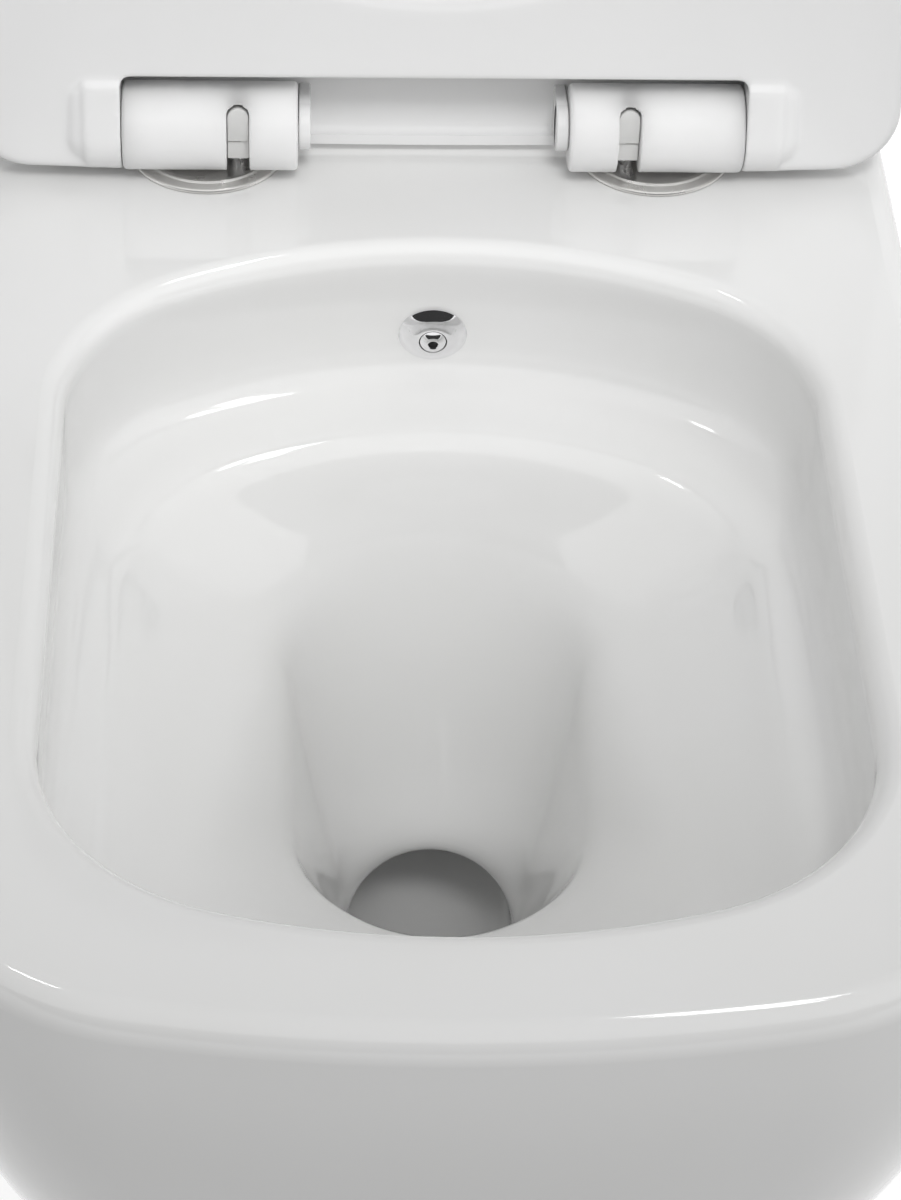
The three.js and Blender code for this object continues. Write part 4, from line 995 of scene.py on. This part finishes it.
def threaded(radius, low, high):
    """Profile points of a thread drawn as fine grooves from one height up to another."""
    points = []
    for z in np.arange(low, high - THREAD_PITCH, THREAD_PITCH):
        points += [(radius - THREAD_DEPTH, z), (radius, z + THREAD_PITCH / 2)]
    return points + [(radius - THREAD_DEPTH, high)]


def seat_bolt():
    under, low = PLATE_HEIGHT - BOLT_HEAD_HEIGHT, PLATE_HEIGHT - BOLT_HEAD_HEIGHT - BOLT_LENGTH
    shank = [(0, low), (BOLT_RADIUS - 1.2, low)] + threaded(BOLT_RADIUS, low + 1, under - THREAD_FROM)
    head = [(BOLT_RADIUS, under - THREAD_FROM + 0.6), (BOLT_RADIUS, under), (BOLT_HEAD_RADIUS, under),
            (BOLT_HEAD_RADIUS, PLATE_HEIGHT - 0.3), (BOLT_HEAD_RADIUS - 0.3, PLATE_HEIGHT),
            (2.6, PLATE_HEIGHT), (2.2, PLATE_HEIGHT - 1), (0, PLATE_HEIGHT - 1)]
    return turned("seat_bolt_steel", shank + head, NUT_STEPS)


def cone_washer():
    foot, tip, bore = CONE_TOP - CONE_HEIGHT, CONE_TOP + CONE_HEIGHT, NUT_BORE
    corners = [(8, foot), (CONE_RADIUS, foot), (CONE_RADIUS, CONE_TOP), (8 - GAP, CONE_TOP),
               (6, tip), (bore, tip), (bore, foot), (8, foot)]
    return turned("cone_washer_rubber", rounded_profile(corners, 0.6)[:-1], WASHER_STEPS)


def clamp_washer():
    washer = tube("clamp_washer_plastic", WASHER_RADIUS, WASHER_HEIGHT, NUT_BORE, 0.4, WASHER_STEPS)
    return placed(washer, shift(0, 0, WASHER_TOP - WASHER_HEIGHT))


def wing_nut():
    hub = tube("wing_nut_plastic", NUT_RADIUS, NUT_HEIGHT, NUT_BORE, MOULD_EDGE, WASHER_STEPS)
    half, top = WING_THICKNESS / 2, WING_FOOT + WING_HEIGHT
    right = block("wing", (WING_START, -half, WING_FOOT), (WING_END, half, top), 1)
    left = block("wing", (-WING_END, -half, WING_FOOT), (-WING_START, half, top), 1)
    return placed(joined(hub, right, left), shift(0, 0, NUT_TOP - NUT_HEIGHT))


def pad(height):
    half, long = PAD_WIDTH / 2, PAD_LENGTH / 2
    return block("pad", (-half, -long, 0), (half, long, height), PAD_EDGE)


SEAT_PADS = [("rear", 0.875, 0.3), ("front", 0.87, 0.72)]
COVER_PADS = [("rear", 0.82, 0.36), ("front", 0.8, 0.78)]


def make_pads(side, word):
    seat_height = HINGE_Z - RIM_Z - SEAT_BELOW_AXIS - 2 * GAP
    cover_height = COVER_UNDERSIDE - SEAT_TOP - 2 * GAP
    groups = [("seat", SEAT_PADS, seat_height, -SEAT_BELOW_AXIS - GAP - seat_height),
              ("cover", COVER_PADS, cover_height, COVER_UNDERSIDE - GAP - cover_height)]
    for body, pads, height, foot in groups:
        for end, across, along in pads:
            place = shift(side * across * SEAT_WIDTH / 2, -along * SEAT_FRONT, foot)
            piece = placed(pad(height), place, OPENED)
            piece.name = f"{body}_pad_{end}_{word}_soft"
            dress(piece, body, "pad_rubber", f"{body}_pad_{end}_{word}")


def make_hinge(side, word):
    mirror = OTHER_SIDE if side < 0 else Matrix.Identity(4)
    on_deck = mirror @ shift(DISC_X, DISC_Y, RIM_Z)
    on_post = mirror @ shift(POST_X, HINGE_Y + POST_IN_FRONT, RIM_Z + GAP)
    at_axis = mirror @ AT_HINGE
    lift = shift(0, 0, GAP)
    plan = [
        (disc_ring(), on_deck, "pan", "steel", "base_disc"),
        (disc_plate(), on_deck @ lift, "pan", "steel", "base_plate"),
        (post(), on_post, "pan", "chrome", "hinge_post"),
        (seat_bolt(), on_deck, "pan", "steel", "seat_bolt"),
        (cone_washer(), on_deck, "pan", "rubber", "cone_washer"),
        (clamp_washer(), on_deck, "pan", "fixing_plastic", "clamp_washer"),
        (wing_nut(), on_deck, "pan", "fixing_plastic", "wing_nut"),
        (barrel(), at_axis, "hinge_set", "barrel_plastic", "hinge_barrel"),
        (post_clip(), at_axis, "hinge_set", "clip_plastic", "post_clip"),
        (side_cap(), mirror, "pan", "fixing_plastic", "side_cap"),
        (fixing_sleeve(), mirror, "pan", "fixing_plastic", "fixing_sleeve"),
    ]
    for piece, matrix, body, slot, node in plan:
        piece.name = f"{piece.name.split('.')[0]}_{word}"
        dress(placed(piece, matrix), body, slot, f"{node}_{word}")
    make_pads(side, word)


def side_cap():
    long, end = PLUG_LENGTH, PLUG_LENGTH + SIDE_CAP_THICKNESS
    corners = [(0, 0), (PLUG_RADIUS, 0), (PLUG_RADIUS, long), (SIDE_CAP_RADIUS, long),
               (SIDE_CAP_RADIUS, end), (0, end)]
    cap = turned("side_cap_disc", rounded_profile(corners, 1.2))
    return placed(cap, ALONG_X, shift(SIDE_CAP_X - long, SIDE_SCREW_Y, 0))


def fixing_sleeve():
    sizes = (BOSS_BORE - GAP, SLEEVE_LENGTH, STUD_BORE, MOULD_EDGE)
    return wall_tube("fixing_sleeve_plastic", STUD_X, 0, *sizes)


# The jet, drawn with +Z coming out of the wall

def make_jet():
    socket = JET_BALL_RADIUS + GAP
    shares = np.linspace(0, 1, 12)
    heights = JET_DOME + (GAP - JET_DOME) * shares
    seat = [(sqrt(socket ** 2 - (h - JET_BALL_FORWARD) ** 2), h) for h in heights]
    lip = seat[0][0] + 0.5
    dome = [(JET_FLANGE_RADIUS + (lip - JET_FLANGE_RADIUS) * s,
             JET_FLANGE_EDGE + (JET_DOME - JET_FLANGE_EDGE) * (1 - (1 - s) ** 2)) for s in shares]
    foot = [(JET_FLANGE_BORE, GAP), (JET_FLANGE_RADIUS, GAP)]
    flange = turned("jet_flange_dome", foot + dome + seat, JET_STEPS)
    dress(placed(flange, OUT_OF_WALL, AT_JET), "pan", "chrome", "jet_flange")
    dress(placed(jet_eye(), OUT_OF_WALL, AT_JET), "jet_eye", "chrome", "jet_ball")
    # A dark disc a little way into the eye's hole, given the rubber material, is painted shade: it
    # stands for the darkness of the deep bore.
    depth = tube("jet_eye_painted_shade_plug", JET_HOLE_RADIUS - 0.05, JET_HOLE_DEPTH, 0, 0.1, WASHER_STEPS)
    dress(placed(depth, shift(0, 0, JET_BALL_FORWARD + 1), OUT_OF_WALL, AT_JET), "jet_eye", "rubber")
    make_jet_back()


def make_jet_back():
    """The jet's body through the bowl's wall, with its gasket and its nut behind the wall."""
    long, radius, bore, deep = JET_BODY_LENGTH, JET_BODY_RADIUS, JET_BODY_BORE, JET_BODY_BORE_DEPTH
    corners = [(0, long), (radius, long), (radius, 0), (bore, 0), (bore, deep), (0, deep)]
    body = turned("jet_body_steel", rounded_profile(corners, 0.4))
    dress(placed(body, TO_WALL, AT_JET), "pan", "steel", "jet_body")
    gasket = tube("jet_gasket_ring", JET_GASKET_RADIUS, JET_GASKET_HEIGHT, JET_NUT_BORE, 0.5)
    at_gasket = AT_JET @ shift(0, JET_WALL + GAP, 0)
    dress(placed(gasket, TO_WALL, at_gasket), "pan", "rubber", "jet_gasket")
    at_nut = AT_JET @ shift(0, JET_WALL + 2 * GAP + JET_GASKET_HEIGHT, 0)
    nut = lock_nut(JET_NUT_RADIUS, JET_NUT_HEIGHT, JET_NUT_BORE)
    dress(placed(nut, TO_WALL, at_nut), "pan", "steel", "jet_lock_nut")


def jet_eye():
    radius, top = JET_BALL_RADIUS, asin(JET_BALL_FLAT_SHARE)
    skin = [(radius * cos(a), radius * sin(a)) for a in np.linspace(-pi / 2, top, 40)]
    skin[0] = (0, skin[0][1])
    flat = JET_BALL_FLAT_SHARE * JET_BALL_RADIUS
    end = [(JET_HOLE_RADIUS + 0.25, flat), (JET_HOLE_RADIUS, flat - 0.25), (JET_HOLE_RADIUS, 0), (0, 0)]
    return placed(turned("jet_eye_ball", skin + end), shift(0, 0, JET_BALL_FORWARD))


def lock_nut(radius, height, bore):
    """A six sided nut with a round bore."""
    angles = [pi / 3 * i for i in range(6)]
    outline = [(radius * cos(a), radius * sin(a)) for a in angles]
    nut = bevelled(lofted("jet_nut_steel", [at_height(outline, z) for z in (0, height)]), 0.6)
    hole = turned("hole", [(0, -1), (bore, -1), (bore, height + 1), (0, height + 1)])
    combined(nut, hole, "DIFFERENCE")
    reshade(nut)
    return nut


def make_supply():
    z = JET_Z + JET_BODY_LENGTH * sin(JET_TILT)
    start = JET_Y + JET_BODY_LENGTH * cos(JET_TILT) + 2 * GAP
    cross = start + PIPE_BEND + 2 * GAP
    corners = [(0, start), (0, cross), (PIPE_OFFSET, cross), (PIPE_OFFSET, -PIPE_END)]
    dress(swept("supply_pipe_steel", corners, z), "pan", "steel", "supply_pipe")
    step, long, bore = COUPLING_BORE, COUPLING_LENGTH, PIPE_RADIUS + GAP
    corners = [(step, 0), (COUPLING_RADIUS, 0), (COUPLING_RADIUS, long), (step, long),
               (step, long / 2), (bore, long / 2), (bore, 0), (step, 0)]
    coupling = turned("supply_coupling_steel", rounded_profile(corners, 0.5)[:-1], NUT_STEPS)
    dress(placed(coupling, TO_WALL, shift(PIPE_OFFSET, -long, z)), "pan", "steel", "supply_coupling")


def swept(name, corners, z):
    """The supply pipe along corners that become bends, at one height."""
    path = [np.array(point) for point in rounded_profile(corners, PIPE_BEND, PIPE_BEND_STEPS, 1)]
    rings = []
    for i, point in enumerate(path):
        ahead = path[min(i + 1, len(path) - 1)] - path[max(i - 1, 0)]
        side = np.array([ahead[1], -ahead[0]]) / np.linalg.norm(ahead)
        rings.append(np.array([
            (*(point + side * PIPE_RADIUS * cos(a)), z + PIPE_RADIUS * sin(a))
            for a in full_turn(PIPE_STEPS)]))
    return lofted(name, rings)


def make_seals():
    inner = (INLET_RADIUS - GAP, INLET_SEAL_LENGTH, INLET_RADIUS - SEAL_WALL, 1.5)
    dress(wall_tube("inlet_seal_rubber", 0, INLET_Z, *inner), "pan", "rubber", "inlet_seal")
    spigot = OUTLET_RADIUS + TRAP_WALL
    outer = (spigot + OUTLET_SEAL_WALL, OUTLET_SEAL_LENGTH, spigot + GAP, 1.2)
    outlet = wall_tube("outlet_seal_rubber", 0, -OUTLET_BELOW_STUDS, *outer)
    dress(outlet, "pan", "rubber", "outlet_seal")


# The materials

NOISE_LOW = 0.3
NOISE_HIGH = 0.7


def node_tree(owner):
    owner.use_nodes = True
    return owner.node_tree


def set_inputs(node, inputs):
    """Sets each input to a constant or links it to another node's output."""
    for socket, value in inputs.items():
        if isinstance(value, bpy.types.NodeSocket):
            node.id_data.links.new(value, node.inputs[socket])
        else:
            node.inputs[socket].default_value = value
    return node


def add_node(tree, kind, inputs=None, **settings):
    node = tree.nodes.new("ShaderNode" + kind)
    for name, value in settings.items():
        setattr(node, name, value)
    return set_inputs(node, inputs or {})


def noise(tree, scale, detail, stretch=(1, 1, 1)):
    """A noise from 0 to 1 with a number of bumps per metre."""
    where = add_node(tree, "TexCoord").outputs["Object"]
    mapped = add_node(tree, "Mapping", {"Scale": stretch, "Vector": where}).outputs["Vector"]
    inputs = {"Scale": scale, "Detail": detail, "Vector": mapped}
    return add_node(tree, "TexNoise", inputs).outputs["Fac"]


def spread(tree, source, low, high):
    """Stretches a noise so that its usual values run from one number to another."""
    usual = {"From Min": NOISE_LOW, "From Max": NOISE_HIGH}
    inputs = {**usual, "To Min": low, "To Max": high, "Value": source}
    return add_node(tree, "MapRange", inputs).outputs["Result"]


# For each material its colour, roughness and other sockets, then the noise and the range of its
# tint, its roughness and its bump. A noise is a scale, a detail and at times a stretch.
MATERIALS = {
    "glaze": (
        (0.8, 0.8, 0.795), 0.07, {"Coat Weight": 0.25, "Coat Roughness": 0.03},
        ((9, 3), (0.75, 0.75, 0.742), (0.765, 0.765, 0.762)),
        ((14, 3), 0.05, 0.09), ((60, 1), 0.05, 0.0006)),
    "seat_plastic": (
        (0.8, 0.8, 0.8), 0.16, {"Coat Weight": 0.1, "Coat Roughness": 0.1},
        ((7, 2), (0.765, 0.765, 0.765), (0.785, 0.785, 0.785)),
        ((20, 3), 0.13, 0.2), ((500, 2), 0.03, 0.0002)),
    "barrel_plastic": (
        (0.8, 0.8, 0.8), 0.34,
        {"Subsurface Weight": 1, "Subsurface Scale": 0.02, "Subsurface Radius": (1, 1, 1)},
        ((40, 2), (0.77, 0.77, 0.77), (0.79, 0.79, 0.79)),
        ((90, 3), 0.3, 0.38), ((1800, 2), 0.05, 0.0002)),
    "clip_plastic": (
        (0.6, 0.6, 0.59), 0.45, {},
        ((120, 3), (0.7, 0.7, 0.69), (0.74, 0.74, 0.73)),
        ((200, 2), 0.4, 0.55), ((2200, 2), 0.08, 0.0002)),
    "steel": (
        (0.78, 0.77, 0.75), 0.3, {"Metallic": 1},
        ((20, 2), (0.76, 0.75, 0.73), (0.81, 0.8, 0.78)),
        ((120, 2, (1, 1, 0.2)), 0.26, 0.34), ((1200, 1, (1, 1, 0.1)), 0.02, 0.0001)),
    "chrome": (
        (0.86, 0.86, 0.87), 0.05, {"Metallic": 1},
        ((60, 2), (0.84, 0.84, 0.85), (0.89, 0.89, 0.9)),
        ((300, 3), 0.03, 0.08), ((900, 2), 0.02, 0.0002)),
    "rubber": (
        (0.025, 0.025, 0.027), 0.7, {},
        ((80, 4), (0.02, 0.02, 0.021), (0.035, 0.035, 0.037)),
        ((300, 3), 0.6, 0.85), ((1500, 3), 0.2, 0.0003)),
    "pad_rubber": (
        (0.7, 0.7, 0.69), 0.5, {"Subsurface Weight": 0.15},
        ((90, 3), (0.68, 0.68, 0.67), (0.73, 0.73, 0.72)),
        ((250, 2), 0.42, 0.58), ((1600, 2), 0.1, 0.0002)),
    "fixing_plastic": (
        (0.65, 0.65, 0.635), 0.5, {},
        ((70, 3), (0.62, 0.62, 0.605), (0.68, 0.68, 0.67)),
        ((220, 3), 0.42, 0.6), ((1700, 3), 0.1, 0.0002)),
}


def make_material(name):
    colour, roughness, sockets, tint, rough, bump = MATERIALS[name]
    material = bpy.data.materials.new(name)
    tree = node_tree(material)
    main = set_inputs(tree.nodes["Principled BSDF"], {
        "Base Color": (*colour, 1), "Roughness": roughness, **sockets})
    mixed = spread(tree, noise(tree, *tint[0]), 0, 1)
    blend = {"A": (*tint[1], 1), "B": (*tint[2], 1), "Factor": mixed}
    relief = {"Strength": bump[1], "Distance": bump[2], "Height": noise(tree, *bump[0])}
    set_inputs(main, {
        "Base Color": add_node(tree, "Mix", blend, data_type="RGBA").outputs["Result"],
        "Roughness": spread(tree, noise(tree, *rough[0]), *rough[1:]),
        "Normal": add_node(tree, "Bump", relief).outputs["Normal"]})
    return material


def dress_nodes():
    """Gives the nodes that stay in view the same materials as their slots' pieces."""
    for part in frame["record"]["subparts"]:
        node = nodes[part["node"]]
        for slot in node.material_slots:
            slot.material = materials[part["material_slot"]]


# Camera, light and floor. The room's strength is a table over height, from straight down (0) to
# straight up (1), plus a share of X on the right and a box high in front. Each strip has its
# place, width, depth and power. The room's dim part is an ellipse over X and Z.

ROOM_LEVELS = [(0.0, 0.02), (0.52, 0.04), (0.58, 0.8), (0.78, 0.8), (0.82, 0.03), (1.0, 0.02)]
WHITE = (1, 1, 1, 1)
ROOM_RIGHT = 0.58
BOX_FRONT = 2.15
BOX_LOW = 0.6
DIM_WIDTH = 0.85
DIM_MIDDLE = 0.38
DIM_HEIGHT = 0.3
DIM_SHARE = 0.96
STRIPS = [
    ("strip_back", (0.42, 0.24, 1.85), 0.42, 0.1, 1.6),
    ("strip_near", (0.42, 0.04, 1.85), 0.42, 0.1, 1.6),
    ("strip_left", (-0.62, 0.15, 1.75), 0.12, 0.2, 1),
]
STRIP_TARGET = (0, -0.25, 0)
FRONT_PLACE = (0.15, -1.45, 1.86)
FRONT_TARGET = (0, -0.06, 0.2)
FRONT_POWER = 92
FRONT_RADIUS = 0.3
FRONT_CONE = radians(25)
FLOOR_REACH = 3000
FLOOR_GREY = 0.28
FLOOR_ROUGHNESS = 0.9
FLOOR_GLOW = 0.8


def make_camera():
    lens = bpy.data.cameras.new("camera")
    lens.sensor_fit = "VERTICAL"
    lens.sensor_height = SENSOR_HEIGHT
    lens.lens = FOCAL_PIXELS * SENSOR_HEIGHT / IMAGE_HEIGHT
    lens.clip_end = 20
    camera = bpy.data.objects.new("camera", lens)
    turns = ((-CAMERA_YAW, "Z"), (pi / 2 - CAMERA_PITCH, "X"), (-CAMERA_ROLL, "Z"))
    camera.matrix_world = shift(*CAMERA_PLACE)
    for angle, axis in turns:
        camera.matrix_world = camera.matrix_world @ Matrix.Rotation(angle, 4, axis)
    bpy.context.scene.collection.objects.link(camera)
    bpy.context.scene.camera = camera


def maths(first, kind, second):
    """Two values put together, of which one at least is a node's output."""
    tree = (first if isinstance(first, bpy.types.NodeSocket) else second).id_data
    return add_node(tree, "Math", {0: first, 1: second}, operation=kind).outputs["Value"]


def seen_directly(tree):
    """1 for rays that come from the camera, a mirror or glass, else 0."""
    ray = add_node(tree, "LightPath").outputs
    seen = maths(ray["Is Camera Ray"], "MAXIMUM", ray["Is Glossy Ray"])
    return maths(seen, "MAXIMUM", ray["Is Transmission Ray"])


def dim_front(tree, x, y, z):
    """1 at the dim part of the room in front, which only mirrors show, else 0."""
    ray = add_node(tree, "LightPath").outputs
    aside = maths(x, "DIVIDE", DIM_WIDTH)
    above = maths(maths(z, "SUBTRACT", DIM_MIDDLE), "DIVIDE", DIM_HEIGHT)
    far = maths(maths(aside, "MULTIPLY", aside), "ADD", maths(above, "MULTIPLY", above))
    inside = maths(maths(far, "LESS_THAN", 1), "MULTIPLY", maths(y, "LESS_THAN", 0))
    return maths(inside, "MULTIPLY", maths(ray["Is Glossy Ray"], "SUBTRACT", ray["Is Camera Ray"]))


def room_strength(tree, x, y, z):
    """The room's strength by height, with its right side and its box high in front added."""
    height = add_node(tree, "MapRange", {"From Min": -1, "Value": z}).outputs["Result"]
    ramp = add_node(tree, "ValToRGB", {"Fac": height})
    elements = ramp.color_ramp.elements
    while len(elements) < len(ROOM_LEVELS):
        elements.new(0.5)
    for element, (place, level) in zip(elements, ROOM_LEVELS):
        element.position = place
        element.color = (level, level, level, 1)
    right = maths(maths(x, "MAXIMUM", 0), "MULTIPLY", ROOM_RIGHT)
    ahead = maths(maths(y, "MULTIPLY", -BOX_FRONT), "MAXIMUM", 0)
    box = maths(ahead, "MULTIPLY", maths(z, "GREATER_THAN", BOX_LOW))
    return maths(maths(ramp.outputs["Color"], "ADD", right), "ADD", box)


def make_world():
    """A pale room that is white where it is seen."""
    world = bpy.data.worlds.new("studio")
    tree = node_tree(world)
    where = add_node(tree, "TexCoord").outputs["Generated"]
    x, y, z = add_node(tree, "SeparateXYZ", {"Vector": where}).outputs
    strength = room_strength(tree, x, y, z)
    room = set_inputs(tree.nodes["Background"], {"Color": WHITE, "Strength": strength})
    dimmed = maths(dim_front(tree, x, y, z), "MULTIPLY", DIM_SHARE)
    white = add_node(tree, "Background", {"Color": WHITE, "Strength": maths(1, "SUBTRACT", dimmed)})
    shaders = {0: seen_directly(tree), 1: room.outputs["Background"], 2: white.outputs["Background"]}
    mix = add_node(tree, "MixShader", shaders)
    set_inputs(tree.nodes["World Output"], {"Surface": mix.outputs["Shader"]})
    bpy.context.scene.world = world
    bpy.context.scene.view_settings.view_transform = "Standard"


def lamp(name, kind, place, target, power, **settings):
    data = bpy.data.lights.new(name, kind)
    data.energy = power
    for setting, value in settings.items():
        setattr(data, setting, value)
    light = bpy.data.objects.new(name, data)
    light.location = place
    light.rotation_euler = (Vector(target) - Vector(place)).to_track_quat("-Z", "Y").to_euler()
    bpy.context.scene.collection.objects.link(light)
    return light


def make_lights():
    for name, place, width, height, power in STRIPS:
        lamp(name, "AREA", place, STRIP_TARGET, power, shape="RECTANGLE", size=width, size_y=height)
    front = lamp("front", "SPOT", FRONT_PLACE, FRONT_TARGET, FRONT_POWER,
                 shadow_soft_size=FRONT_RADIUS, spot_size=FRONT_CONE, spot_blend=1)
    front.visible_glossy = False


def make_stage():
    corners = [(x * FLOOR_REACH, y * FLOOR_REACH) for x, y in ((-1, -1), (1, -1), (1, 1), (-1, 1))]
    floor = new_object("floor", at_height(corners, FLOOR_Z), [(0, 1, 2, 3)])
    floor.data.materials.append(floor_material())


def floor_material():
    material = bpy.data.materials.new("floor")
    tree = node_tree(material)
    set_inputs(tree.nodes["Principled BSDF"], {
        "Base Color": (FLOOR_GREY, FLOOR_GREY, FLOOR_GREY, 1), "Roughness": FLOOR_ROUGHNESS,
        "Emission Color": WHITE,
        "Emission Strength": maths(seen_directly(tree), "MULTIPLY", FLOOR_GLOW)})
    return material


def finish_sizes():
    bpy.context.view_layer.update()


def main():
    make_camera()
    make_world()
    make_lights()
    make_stage()
    dress_nodes()
    make_pan()
    make_seat()
    make_cover()
    make_jet()
    make_supply()
    make_seals()
    make_hinge(1, "right")
    make_hinge(-1, "left")


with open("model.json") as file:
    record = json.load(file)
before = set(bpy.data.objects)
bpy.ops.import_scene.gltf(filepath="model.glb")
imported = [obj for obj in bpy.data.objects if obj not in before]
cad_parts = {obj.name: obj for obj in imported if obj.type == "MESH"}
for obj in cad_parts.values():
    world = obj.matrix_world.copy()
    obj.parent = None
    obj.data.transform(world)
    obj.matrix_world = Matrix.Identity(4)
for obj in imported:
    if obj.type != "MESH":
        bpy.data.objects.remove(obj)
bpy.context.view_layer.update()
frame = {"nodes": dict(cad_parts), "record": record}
nodes = frame["nodes"]
materials = {name: make_material(name) for name in MATERIALS}
main()
finish_sizes()
